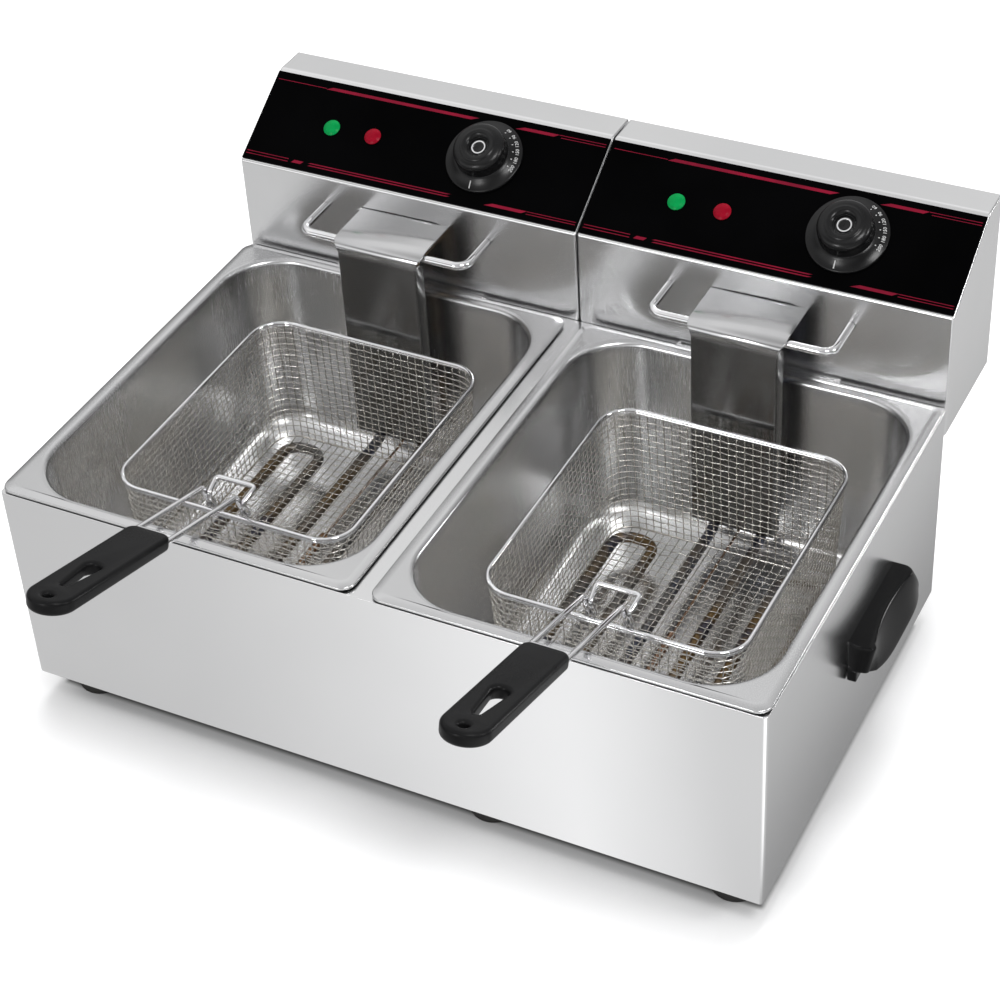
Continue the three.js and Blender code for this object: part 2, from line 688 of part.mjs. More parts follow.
function headCase() {
  const tangent = Math.tan(panelAngle);
  const slant = SHEET / Math.cos(panelAngle);
  const outer = polygon([
    [0, -HEAD_DROP],
    [HEAD_DEPTH, -HEAD_DROP],
    [HEAD_DEPTH, headTop],
    [PANEL_RUN, headTop],
    [0, FACE_RISE],
  ]);
  const inner = polygon([
    [SHEET, -HEAD_DROP - SHEET],
    [HEAD_DEPTH + SHEET, -HEAD_DROP - SHEET],
    [HEAD_DEPTH + SHEET, headTop - SHEET],
    [(PANEL_RISE - SHEET + slant) / tangent, headTop - SHEET],
    [SHEET, FACE_RISE + SHEET * tangent - slant],
  ]);
  const frame = panelFrame();
  const through = (radius, [x, y]) => {
    const tool = drum(radius, -3 * SHEET, 3 * SHEET, ROUND_SIDES / 2);
    return solid(tool.translate(x, y, 0).applyMatrix4(frame.matrix));
  };
  const drilled = (radius, x, z) => (
    solid(drumAlongY(radius, -SHEET, 2 * SHEET, ROUND_SIDES / 2).translate(x, 0, z))
  );
  const slot = (width, bottom, top) => solid(box(
    -width / 2 - CLEARANCE, width / 2 + CLEARANCE,
    -SHEET, 2 * SHEET,
    bottom - CLEARANCE, top + CLEARANCE,
  ));
  return cut(
    solid(profileAlongX(outer, headWidth)),
    solid(profileAlongX(inner, headWidth - 2 * SHEET)),
    through(BUSH_RADIUS + CLEARANCE, knobPlace),
    through(LAMP_STEM_RADIUS + CLEARANCE, lampPlaces.power_lamp),
    through(LAMP_STEM_RADIUS + CLEARANCE, lampPlaces.heat_lamp),
    drilled(HANGER_RADIUS + CLEARANCE, -hangerX, HANGER_HEIGHT),
    drilled(HANGER_RADIUS + CLEARANCE, hangerX, HANGER_HEIGHT),
    drilled(ELEMENT_RADIUS + CLEARANCE, -ELEMENT_LEG_OFFSET, ELEMENT_LEG_HEIGHT),
    drilled(ELEMENT_RADIUS + CLEARANCE, ELEMENT_LEG_OFFSET, ELEMENT_LEG_HEIGHT),
    drilled(CAPILLARY_RADIUS + CLEARANCE, 0, ELEMENT_LEG_HEIGHT),
    slot(COVER_WIDTH, coverTop - SHEET, coverTop),
    slot(HOOK_WIDTH, hookBottom, hookTop),
  );
}

function headBackCover() {
  const half = headWidth / 2 - SHEET - CLEARANCE;
  const bottom = -HEAD_DROP;
  const back = box(-half, half, backInside, HEAD_DEPTH, bottom, headTop - SHEET - CLEARANCE);
  const floor = box(-half, half, SHEET + CLEARANCE, HEAD_DEPTH, bottom, bottom + SHEET);
  const hole = (radius, x, z) => (
    solid(drumAlongY(radius, backInside - SHEET, HEAD_DEPTH + SHEET).translate(x, 0, z))
  );
  return cut(
    joined(solid(back), solid(floor)),
    hole(GLAND_THREAD_RADIUS + CLEARANCE, GLAND_OFFSET, GLAND_HEIGHT),
    hole(RESET_RADIUS + CLEARANCE, RESET_OFFSET, RESET_HEIGHT),
  );
}

// A folded bracket: a tab behind the head's front, a bridge out through its slot, and a leg
// that drops into the slot at the back edge of the deck.
function headHook() {
  const legFront = -HEAD_STANDOFF - SHEET - CLEARANCE - SHEET;
  const tabFront = SHEET + CLEARANCE;
  return profileAlongX(polygon([
    [legFront, -HOOK_LEG],
    [legFront + SHEET, -HOOK_LEG],
    [legFront + SHEET, hookBottom],
    [tabFront, hookBottom],
    [tabFront, -HOOK_TAB],
    [tabFront + SHEET, -HOOK_TAB],
    [tabFront + SHEET, hookTop],
    [legFront, hookTop],
  ]), HOOK_WIDTH);
}

function controlPanel() {
  const length = panelLength - 2 * PANEL_MARGIN;
  const plate = prism(
    roundedRect(headWidth - 2 * PANEL_SIDE_MARGIN, length, PANEL_SIDE_MARGIN),
    CLEARANCE,
    panelTop,
  ).translate(0, panelLength / 2, 0);
  const hole = (radius, [x, y]) => (
    solid(drum(radius, -SHEET, 3 * SHEET, ROUND_SIDES / 2).translate(x, y, 0))
  );
  return cut(
    solid(plate),
    hole(BUSH_RADIUS + CLEARANCE, knobPlace),
    hole(LAMP_STEM_RADIUS + CLEARANCE, lampPlaces.power_lamp),
    hole(LAMP_STEM_RADIUS + CLEARANCE, lampPlaces.heat_lamp),
  );
}

const knobSeat = panelTop + CLEARANCE;
const thermostatTop = -SHEET - CLEARANCE;

function thermostatBody() {
  const half = THERMOSTAT_SIDE / 2;
  const bottom = thermostatTop - THERMOSTAT_DEPTH;
  const bushTop = panelTop;
  return cut(
    joined(
      solid(box(-half, half, -half, half, bottom, thermostatTop)),
      solid(drum(BUSH_RADIUS, thermostatTop - 1, bushTop, ROUND_SIDES / 2)),
    ),
    solid(drum(SPINDLE_RADIUS + CLEARANCE, bushTop - SPINDLE_SEAT, bushTop + 1, ROUND_SIDES / 2)),
  );
}

function spindle() {
  const bottom = panelTop - SPINDLE_SEAT + CLEARANCE;
  const top = knobSeat + knobSocket - CLEARANCE;
  return drum(SPINDLE_RADIUS, bottom, top, ROUND_SIDES / 2);
}

// A conical skirt, a round-shouldered crown and a dished face with a seat for the cap.
function knob() {
  const crown = KNOB_CROWN_RADIUS;
  const capSeat = CAP_RADIUS + CLEARANCE;
  const ledge = crown - KNOB_SHOULDER_IN;
  const dish = ledge - KNOB_LEDGE;
  return turned([
    [0, knobSocket],
    [SPINDLE_RADIUS + CLEARANCE, knobSocket],
    [SPINDLE_RADIUS + CLEARANCE, 0],
    [KNOB_RADIUS, 0],
    [KNOB_RADIUS, KNOB_SKIRT_EDGE],
    [crown + KNOB_DRAFT, KNOB_SKIRT_RISE],
    [crown, KNOB_SKIRT_RISE + KNOB_DRAFT],
    [crown - KNOB_DRAFT, KNOB_HEIGHT - KNOB_SHOULDER],
    [(crown - KNOB_DRAFT + ledge) / 2, KNOB_HEIGHT - KNOB_SHOULDER / 4],
    [ledge, KNOB_HEIGHT],
    [dish, KNOB_HEIGHT],
    [dish - KNOB_DISH_SLOPE, knobDishFloor],
    [capSeat, knobDishFloor],
    [capSeat, capSeatFloor],
    [0, capSeatFloor],
  ]).translate(0, 0, knobSeat);
}

function knobCap() {
  const bottom = knobSeat + capSeatFloor + CLEARANCE;
  const top = bottom + CAP_THICKNESS;
  return turned([
    [0, bottom],
    [CAP_RADIUS, bottom],
    [CAP_RADIUS, top - CAP_EDGE],
    [CAP_RADIUS - CAP_EDGE, top],
    [0, top],
  ], ROUND_SIDES / 2);
}

function lamp() {
  const seat = panelTop + CLEARANCE;
  return turned([
    [0, seat - LAMP_STEM_LENGTH],
    [LAMP_STEM_RADIUS, seat - LAMP_STEM_LENGTH],
    [LAMP_STEM_RADIUS, seat],
    [LAMP_RADIUS, seat],
    [LAMP_RADIUS, seat + LAMP_BEZEL],
    [LAMP_CROWN_RADIUS, seat + LAMP_RISE - LAMP_CROWN_DROP],
    [0, seat + LAMP_RISE],
  ], ROUND_SIDES / 2);
}

function hangerRod() {
  const half = [
    [-hangerX, HANGER_TAIL, HANGER_HEIGHT],
    [-hangerX, -hangerReach, HANGER_HEIGHT],
  ];
  return wire([...half, ...mirrored(half)], HANGER_RADIUS, HANGER_BEND);
}

// The top plate leaves the head level, curves over and turns down into the tank, where the
// channel's side flanges start.
function elementCover() {
  const bottom = elementZ + ELEMENT_RADIUS + COVER_END_GAP;
  const front = -coverReach;
  const top = coverTop;
  const bend = top - COVER_BEND_DROP;
  const level = front + COVER_BEND_RUN;
  const plate = new THREE.Shape();
  plate.moveTo(COVER_TAIL, top);
  plate.lineTo(level, top);
  plate.quadraticCurveTo(front + SHEET, top, front, bend);
  plate.lineTo(front, bottom);
  plate.lineTo(front + SHEET, bottom);
  plate.lineTo(front + SHEET, bend);
  plate.quadraticCurveTo(front + 2 * SHEET, top - SHEET, level, top - SHEET);
  plate.lineTo(COVER_TAIL, top - SHEET);
  plate.closePath();
  const wide = COVER_WIDTH / 2;
  const half = wide - COVER_TAPER;
  const outline = polygon([
    [-wide, top + SHEET],
    [-wide, top - COVER_TAPER_TOP],
    [-half, top - COVER_TAPER_BOTTOM],
    [-half, bottom - SHEET],
    [half, bottom - SHEET],
    [half, top - COVER_TAPER_BOTTOM],
    [wide, top - COVER_TAPER_TOP],
    [wide, top + SHEET],
  ]);
  const blank = prism(outline, -2 * coverReach, 2 * coverReach).rotateX(Math.PI / 2);
  const flangeHigh = HANGER_HEIGHT - HANGER_RADIUS - COVER_FLANGE_GAP;
  const flange = (x0, x1) => (
    solid(box(x0, x1, front, front + COVER_FLANGE, bottom, flangeHigh))
  );
  return joined(
    solid(profileAlongX(plate, 2 * COVER_WIDTH)).intersect(solid(blank)),
    flange(-half, SHEET - half),
    flange(half - SHEET, half),
  );
}

const elementRear = basketRear - headFront - ELEMENT_END_SPACE;
const elementFront = elementRear - basketDepth + 2 * ELEMENT_END_SPACE;

// One tube: in through a leg, out to the side and back, across the front, and the same again.
function heatingElement() {
  const legY = -legReach;
  const rear = elementRear;
  const front = elementFront;
  const turn = front + ELEMENT_PITCH;
  const z = elementZ;
  const run = [0, 1, 2].map((i) => ELEMENT_LEG_OFFSET + i * ELEMENT_PITCH);
  const half = [
    [-run[0], ELEMENT_TAIL, ELEMENT_LEG_HEIGHT],
    [-run[0], legY, ELEMENT_LEG_HEIGHT],
    [-run[0], legY, z],
    [-run[0], turn, z],
    [-run[1], turn, z],
    [-run[1], rear, z],
    [-run[2], rear, z],
    [-run[2], front, z],
  ];
  const bend = (ELEMENT_PITCH - ELEMENT_STRAIGHT) / 2;
  return wire([...half, ...mirrored(half)], ELEMENT_RADIUS, bend);
}

// The bulb lies between the element's inner runs; its capillary climbs behind the cover and
// ends at the thermostat.
function thermostatBulb() {
  const front = elementFront + BULB_SETBACK;
  const back = front + BULB_LENGTH;
  const legY = -legReach;
  const frame = panelFrame();
  const low = thermostatTop - THERMOSTAT_DEPTH - CLEARANCE;
  const end = new THREE.Vector3(KNOB_OFFSET, panelLength / 2, low).applyMatrix4(frame.matrix);
  const approach = new THREE.Vector3(KNOB_OFFSET, panelLength / 2, low - CAPILLARY_RUN);
  approach.applyMatrix4(frame.matrix);
  const tube = wire([
    [0, back - CAPILLARY_BEND, elementZ],
    [0, legY, elementZ],
    [0, legY, ELEMENT_LEG_HEIGHT],
    [0, CAPILLARY_RUN, ELEMENT_LEG_HEIGHT],
    approach.toArray(),
    end.toArray(),
  ], CAPILLARY_RADIUS, CAPILLARY_BEND, 3, 6);
  const bulb = drumAlongY(BULB_RADIUS, front, back, ROUND_SIDES / 2).translate(0, 0, elementZ);
  return joined(solid(tube), solid(bulb));
}

function terminalBlock() {
  const bottom = SHEET + CLEARANCE - HEAD_DROP;
  const back = HEAD_DEPTH - TERMINAL_FROM_BACK;
  const half = TERMINAL_WIDTH / 2;
  const ridge = TERMINAL_DEPTH / 4;
  const base = box(-half, half, back - TERMINAL_DEPTH, back, bottom, bottom + TERMINAL_HEIGHT / 2);
  const wall = box(
    -half, half,
    back - TERMINAL_DEPTH + ridge, back - ridge,
    bottom, bottom + TERMINAL_HEIGHT,
  );
  return joined(solid(base), solid(wall));
}

function cableGland() {
  const inside = backInside - CLEARANCE;
  const outside = HEAD_DEPTH + CLEARANCE;
  const nutEnd = outside + GLAND_NUT_THICKNESS;
  const end = HEAD_DEPTH + GLAND_REACH;
  return turnedAlongY([
    [GLAND_BORE_RADIUS, inside - GLAND_NUT_THICKNESS],
    [GLAND_NUT_RADIUS, inside - GLAND_NUT_THICKNESS],
    [GLAND_NUT_RADIUS, inside],
    [GLAND_THREAD_RADIUS, inside],
    [GLAND_THREAD_RADIUS, outside],
    [GLAND_NUT_RADIUS, outside],
    [GLAND_NUT_RADIUS, nutEnd],
    [GLAND_DOME_RADIUS, nutEnd],
    [GLAND_DOME_RADIUS, end - 3],
    [GLAND_DOME_RADIUS - 3, end],
    [GLAND_BORE_RADIUS, end],
    [GLAND_BORE_RADIUS, inside - GLAND_NUT_THICKNESS],
  ], ROUND_SIDES / 2).translate(GLAND_OFFSET, 0, GLAND_HEIGHT);
}

function limitSwitch() {
  const back = backInside - CLEARANCE;
  const pocket = RESET_PROUD + RESET_TRAVEL + 2;
  return cut(
    solid(drumAlongY(LIMIT_SWITCH_RADIUS, back - LIMIT_SWITCH_DEPTH, back, ROUND_SIDES / 2)),
    solid(drumAlongY(RESET_RADIUS + CLEARANCE, back - pocket, back + 1, ROUND_SIDES / 2)),
  ).translate([RESET_OFFSET, 0, RESET_HEIGHT]);
}

function resetButton() {
  const end = HEAD_DEPTH + RESET_PROUD;
  const start = backInside - CLEARANCE - RESET_PROUD;
  return turnedAlongY([
    [0, start],
    [RESET_RADIUS, start],
    [RESET_RADIUS, end - 1],
    [RESET_RADIUS - 1, end],
    [0, end],
  ], ROUND_SIDES / 2).translate(RESET_OFFSET, 0, RESET_HEIGHT);
}

function buildHead(side, sign) {
  const head = new THREE.Group();
  head.position.set(sign * headX, headFront, deckTop);
  fryer.add(head);
  addPiece(head, `head_case_${side}`, headCase(), brushedSteel());
  addPiece(head, `head_back_cover_${side}`, headBackCover(), brushedSteel());
  addPiece(head, `head_hook_${side}`, headHook(), brushedSteel());
  addPiece(head, `hanger_rod_${side}`, hangerRod(), chrome());
  addPiece(head, `element_cover_${side}`, elementCover(), brushedSteel());
  addPiece(head, `heating_element_${side}`, heatingElement(), darkSteel());
  addPiece(head, `thermostat_bulb_${side}`, thermostatBulb(), copperTone());
  addPiece(head, `terminal_block_${side}`, terminalBlock(), ivoryCeramic());
  addPiece(head, `cable_gland_${side}`, cableGland(), bakelite());
  addPiece(head, `limit_switch_${side}`, limitSwitch(), ivoryCeramic());
  addPiece(head, `reset_button_${side}`, resetButton(), redLens());

  const face = panelFrame();
  head.add(face);
  addPiece(face, `control_panel_${side}`, controlPanel(), blackPanel());
  const lenses = { power_lamp: greenLens, heat_lamp: redLens };
  for (const [name, [x, y]] of Object.entries(lampPlaces)) {
    addPiece(face, `${name}_${side}`, lamp(), lenses[name]()).position.set(x, y, 0);
  }
  const dial = new THREE.Group();
  dial.position.set(...knobPlace, 0);
  face.add(dial);
  addPiece(dial, `thermostat_body_${side}`, thermostatBody(), ivoryCeramic());
  addPiece(dial, `thermostat_spindle_${side}`, spindle(), brushedSteel());
  addPiece(dial, `control_knob_${side}`, knob(), bakelite());
  addPiece(dial, `knob_cap_${side}`, knobCap(), chrome());
}

// ---- Baskets --------------------------------------------------------------------------
// A basket's group has its origin in the middle of the rim's plan, at the rim's height.

const rimFront = -basketDepth / 2;
const legFoot = rimFront + RIM_WIRE + CLEARANCE + HANDLE_WIRE_RADIUS;
const leanStart = RIM_WIRE;     // a leg starts to lean this far above the rim's middle
const wireX = GRIP_WIDTH / 2 - GRIP_CHEEK - CLEARANCE - HANDLE_WIRE_RADIUS;

// The wires bend so high that they pass over the inner edge of the tank's flange.
const handleBendY = legFoot - HANDLE_LEAN;
const climb = (handleBendY + basketY - tankFront) * Math.tan(HANDLE_TILT);
const overFlange = HANDLE_FLANGE_GAP + HANDLE_WIRE_RADIUS / Math.cos(HANDLE_TILT);
const handlePeak = flangeTop - deckTop + RIM_DROP + overFlange - climb;

// A point on a handle wire's centre line, `along` millimetres forward of its bend.
function alongHandle(x, along) {
  const y = handleBendY - along * Math.cos(HANDLE_TILT);
  return [x, y, handlePeak + along * Math.sin(HANDLE_TILT)];
}

function basketRim() {
  const ring = roundedRect(basketWidth, basketDepth, BASKET_CORNER);
  const inside = roundedRect(
    basketWidth - 2 * RIM_WIRE,
    basketDepth - 2 * RIM_WIRE,
    BASKET_CORNER - RIM_WIRE,
  );
  ring.holes.push(inside);
  return easedPrism(ring, RIM_WIRE, RIM_EDGE).translate(0, 0, -RIM_WIRE / 2);
}

// The woven walls and floor as one thin tray, open at the top.
function basketMesh() {
  const top = -RIM_WIRE / 2 - CLEARANCE;
  const tray = (width, depth, corner, floor) => {
    const block = new THREE.ExtrudeGeometry(roundedRect(width, depth, corner), {
      depth: SHEET,
      bevelThickness: top - floor,
      bevelSize: BASKET_TAPER,
      bevelOffset: -BASKET_TAPER,
      bevelSegments: 1,
      curveSegments: CORNER_STEPS,
    });
    const above = box(-width, width, -depth, depth, 0, 2 * basketHeight);
    return cut(solid(block), solid(above)).translate([0, 0, top]);
  };
  const margin = (RIM_WIRE - BASKET_WALL) / 2;
  const shrink = 2 * (margin + BASKET_WALL);
  const outer = tray(
    basketWidth - 2 * margin,
    basketDepth - 2 * margin,
    BASKET_CORNER - margin,
    -basketHeight,
  );
  const inner = tray(
    basketWidth - shrink,
    basketDepth - shrink,
    BASKET_CORNER - shrink / 2,
    BASKET_WALL - basketHeight,
  );
  return cut(outer, inner);
}

function basketHandleWires() {
  const rod = (x) => solid(wire([
    [x, legFoot, 0],
    [x, legFoot, leanStart],
    alongHandle(x, 0),
    alongHandle(x, HANDLE_REACH + GRIP_SOCKET - CLEARANCE),
  ], HANDLE_WIRE_RADIUS, HANDLE_WIRE_BEND));
  const along = HANDLE_REACH - HANDLE_BAR_SETBACK;
  const bar = wire(
    [alongHandle(-wireX, along), alongHandle(wireX, along)],
    HANDLE_WIRE_RADIUS,
    HANDLE_WIRE_BEND,
  );
  return joined(rod(-wireX), rod(wireX), solid(bar));
}

// A wire loop on the rim, beside the handle's wires: two legs, a short run back over the
// basket and a cross bar.
function basketCatch() {
  const middle = HANDLE_WIRE_RADIUS + CLEARANCE + CATCH_WIRE_RADIUS;
  const footY = rimFront + RIM_WIRE + CLEARANCE + CATCH_WIRE_RADIUS;
  const topY = footY - CATCH_LEAN;
  const barX = CATCH_BAR_SPAN / 2;
  const half = [
    [-wireX, footY, 0],
    [-wireX, footY, leanStart],
    [-wireX, topY, CATCH_PEAK],
    [-barX, topY + CATCH_RUN, CATCH_PEAK + CATCH_RISE],
  ];
  const loop = wire([...half, ...mirrored(half)], CATCH_WIRE_RADIUS, CATCH_BEND);
  return loop.translate(middle, 0, 0);
}

// Flat grip, drawn from the wires' end (Y = 0) forward to its round end at -GRIP_LENGTH.
function basketGrip() {
  const half = GRIP_WIDTH / 2;
  const outline = new THREE.Shape();
  outline.moveTo(half, -GRIP_CORNER);
  outline.quadraticCurveTo(half, 0, half - GRIP_CORNER, 0);
  outline.lineTo(GRIP_CORNER - half, 0);
  outline.quadraticCurveTo(-half, 0, -half, -GRIP_CORNER);
  outline.lineTo(-half, half - GRIP_LENGTH);
  outline.absarc(0, half - GRIP_LENGTH, half, Math.PI, 2 * Math.PI);
  outline.closePath();

  const slot = new THREE.Path();
  const tipEnd = GRIP_SLOT_FROM_END - GRIP_LENGTH;
  const tipY = tipEnd + GRIP_SLOT_TIP_RADIUS;
  const wideY = tipEnd + GRIP_SLOT_LENGTH - GRIP_SLOT_RADIUS;
  slot.absarc(0, wideY, GRIP_SLOT_RADIUS, 0, Math.PI);
  slot.absarc(0, tipY, GRIP_SLOT_TIP_RADIUS, Math.PI, 2 * Math.PI);
  slot.closePath();
  const hole = new THREE.Path();
  hole.absarc(0, GRIP_HOLE_FROM_END - GRIP_LENGTH, GRIP_HOLE_RADIUS, 0, 2 * Math.PI);
  outline.holes.push(slot, hole);

  const bar = easedPrism(outline, GRIP_THICKNESS, GRIP_EDGE);
  bar.translate(0, 0, -GRIP_THICKNESS / 2);
  const socket = (x) => {
    const radius = HANDLE_WIRE_RADIUS + CLEARANCE;
    return solid(drumAlongY(radius, -GRIP_SOCKET, 1, WIRE_SIDES).translate(x, 0, 0));
  };
  return cut(solid(bar), socket(-wireX), socket(wireX));
}

function buildBasket(side, sign) {
  const basket = new THREE.Group();
  basket.position.set(sign * tankX, basketY, deckTop - RIM_DROP);
  fryer.add(basket);
  addPiece(basket, `basket_mesh_${side}`, basketMesh(), wireSteel());
  addPiece(basket, `basket_rim_${side}`, basketRim(), chrome());
  addPiece(basket, `basket_catch_${side}`, basketCatch(), chrome());
  addPiece(basket, `basket_handle_wires_${side}`, basketHandleWires(), chrome());
  const grip = addPiece(basket, `basket_grip_${side}`, basketGrip(), gripPlastic());
  grip.position.set(...alongHandle(0, HANDLE_REACH));
  grip.rotation.x = -HANDLE_TILT;
}

// ---- Assembly -------------------------------------------------------------------------

buildHousing();
buildBasePlate();
buildFeet();
buildSideHandles();
buildTanks();
for (const { side, sign } of SIDES) {
  buildHead(side, sign);
  buildBasket(side, sign);
}

// The origin is the middle of the footprint, at table height.
fryer.updateMatrixWorld(true);
const bounds = new THREE.Box3().setFromObject(fryer, true);
fryer.position.set(0, -(bounds.min.y + bounds.max.y) / 2, 0);

export default fryer;
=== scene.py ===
"""The looks of a countertop deep fryer with two lift-out oil tanks and two control heads.

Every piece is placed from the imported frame, in metres, and rides on the body that it belongs
to. Sizes in the dataclasses below are in millimetres.
"""

import logging
import math
from collections.abc import Callable, Iterable, Sequence
from dataclasses import dataclass
from enum import Enum
from typing import ClassVar

import bmesh
import bpy
from mathutils import Matrix, Vector


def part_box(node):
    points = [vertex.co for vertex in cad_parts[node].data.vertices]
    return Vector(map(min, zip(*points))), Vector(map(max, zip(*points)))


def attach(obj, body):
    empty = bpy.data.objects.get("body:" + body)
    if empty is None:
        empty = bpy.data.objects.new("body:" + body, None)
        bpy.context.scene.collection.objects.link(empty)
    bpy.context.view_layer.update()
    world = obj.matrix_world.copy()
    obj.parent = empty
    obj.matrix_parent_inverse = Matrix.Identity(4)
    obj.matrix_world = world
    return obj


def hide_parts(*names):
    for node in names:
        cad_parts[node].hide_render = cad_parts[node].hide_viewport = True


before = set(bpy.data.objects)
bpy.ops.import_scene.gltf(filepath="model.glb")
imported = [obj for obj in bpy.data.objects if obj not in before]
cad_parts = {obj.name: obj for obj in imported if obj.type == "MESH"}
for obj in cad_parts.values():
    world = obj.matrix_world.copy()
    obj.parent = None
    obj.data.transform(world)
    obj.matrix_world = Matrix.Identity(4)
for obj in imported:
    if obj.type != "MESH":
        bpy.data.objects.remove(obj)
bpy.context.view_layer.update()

LOG = logging.getLogger("deep_fryer")
MM = 0.001
NEAR = 0.1
WELD = 1e-6
FLAT = math.radians(0.5)
SHARP = math.radians(18)
TO_METRES = Matrix.Scale(MM, 4)
BACKWARD = Matrix.Rotation(math.radians(-90), 4, "X")
EDGE_WEAR_AND_HIGHLIGHT_CELLS = 180.0
EDGE_WEAR_AND_HIGHLIGHT_REACH = 0.8 * MM

Pair = tuple[float, float]
Triple = tuple[float, float, float]
Color = Triple
Point = Vector | Triple
Socket = bpy.types.NodeSocket
EdgeRule = Callable[[Vector, Vector, float], float]


class Side(Enum):
    """The two halves of the fryer, with the sign of their X."""

    LEFT = -1
    RIGHT = 1

    @property
    def label(self) -> str:
        """The word that ends the names of this half's nodes."""
        return self.name.lower()


@dataclass
class Half:
    """A piece or a group of pieces on one half of the fryer."""

    side: Side

    rides: ClassVar[str] = "head"

    @property
    def body(self) -> str:
        """The body that most of its pieces ride on."""
        return self.named(self.rides)

    def named(self, word: str) -> str:
        """A word with this half's ending, as nodes, bodies and pieces have it."""
        return f"{word}_{self.side.label}"


class Grain(Enum):
    """How the fine structure of a finish lies."""

    EVEN = "the same in every direction"
    BRUSHED = "lines along X, or along Y on faces that look along X"
    TURNED = "rings about the piece's own Z axis"
    DRAWN = "lines down the walls"


# ---- Finishes ----


class Graph:
    """A small helper round one node tree."""

    def __init__(self, tree: bpy.types.NodeTree) -> None:
        """Keeps the tree that the nodes go into."""
        self.tree = tree

    def node(self, kind: str, **settings: object) -> bpy.types.Node:
        """Adds a node.

        Args:
            kind: the node's type, without its ShaderNode prefix.
            settings: attributes to set on it.

        Returns:
            The new node.
        """
        made = self.tree.nodes.new("ShaderNode" + kind)
        for key, value in settings.items():
            setattr(made, key, value)
        return made

    def link(self, source: Socket, target: Socket) -> None:
        """Links two sockets."""
        self.tree.links.new(source, target)

    def span(
        self, value: Socket, lo: float, hi: float, out_lo: float, out_hi: float,
        easing: str = "LINEAR",
    ) -> Socket:
        """Maps one range of values to another, clamped.

        Args:
            value: the socket to map.
            lo: the value that becomes out_lo.
            hi: the value that becomes out_hi.
            out_lo: the result at lo.
            out_hi: the result at hi.
            easing: the Map Range node's interpolation.

        Returns:
            The mapped socket.
        """
        made = self.node("MapRange", interpolation_type=easing)
        numbers = {"From Min": lo, "From Max": hi, "To Min": out_lo, "To Max": out_hi}
        for key, number in numbers.items():
            made.inputs[key].default_value = number
        self.link(value, made.inputs["Value"])
        return made.outputs["Result"]

    def eased(self, value: Socket, lo: float, hi: float, out_lo: float, out_hi: float) -> Socket:
        """The same, with a smooth start and end."""
        return self.span(value, lo, hi, out_lo, out_hi, "SMOOTHSTEP")

    def ramp(self, value: Socket, stops: Sequence[Pair]) -> Socket:
        """Maps a value from 0 to 1 through a list of stops.

        Args:
            value: the socket to map.
            stops: places from 0 to 1, each with its strength.

        Returns:
            The strength.
        """
        ramp = self.node("ValToRGB")
        while len(ramp.color_ramp.elements) < len(stops):
            ramp.color_ramp.elements.new(0.5)
        for element, (place, strength) in zip(ramp.color_ramp.elements, stops):
            element.position = place
            element.color = (strength, strength, strength, 1.0)
        self.link(value, ramp.inputs[0])
        gray = self.node("RGBToBW")
        self.link(ramp.outputs[0], gray.inputs[0])
        return gray.outputs[0]

    def math(self, operation: str, first: Socket, second: Socket | float = 0.0) -> Socket:
        """One arithmetic step.

        Args:
            operation: the Math node's operation.
            first: the first operand.
            second: the second operand.

        Returns:
            The result.
        """
        made = self.node("Math", operation=operation)
        self.link(first, made.inputs[0])
        self.put(second, made.inputs[1])
        return made.outputs[0]

    def blend(self, kind: str, factor: Socket, low: Color | Socket, high: Color | Socket) -> Socket:
        """Mixes two values or two colours.

        Args:
            kind: FLOAT or RGBA.
            factor: 0 for low, 1 for high.
            low: a colour or a socket.
            high: a colour or a socket.

        Returns:
            The mixed socket.
        """
        made = self.node("Mix", data_type=kind)
        used = [port for port in made.inputs if port.enabled]
        self.link(factor, used[0])
        self.put(low, used[1])
        self.put(high, used[2])
        return next(port for port in made.outputs if port.enabled)

    def put(self, value: Color | Socket | float, target: Socket) -> None:
        """Links a socket to another, or sets its number or colour.

        Args:
            value: the socket, number or colour.
            target: the socket that gets it.
        """
        if isinstance(value, Socket):
            self.link(value, target)
        else:
            target.default_value = (*value, 1.0) if isinstance(value, tuple) else value

    def parts(self, kind: str, output: str) -> Sequence[Socket]:
        """The X, Y and Z of one of the object's or the scene's coordinates.

        Args:
            kind: the node that gives them.
            output: its output.

        Returns:
            The three sockets, by name.
        """
        apart = self.node("SeparateXYZ")
        self.link(self.node(kind).outputs[output], apart.inputs[0])
        return apart.outputs

    def mirrored(self, path: bpy.types.Node) -> Socket:
        """1 for what is seen in metal or through glass, by a Light Path node."""
        rays = path.outputs
        return self.math("MAXIMUM", rays["Is Glossy Ray"], rays["Is Transmission Ray"])


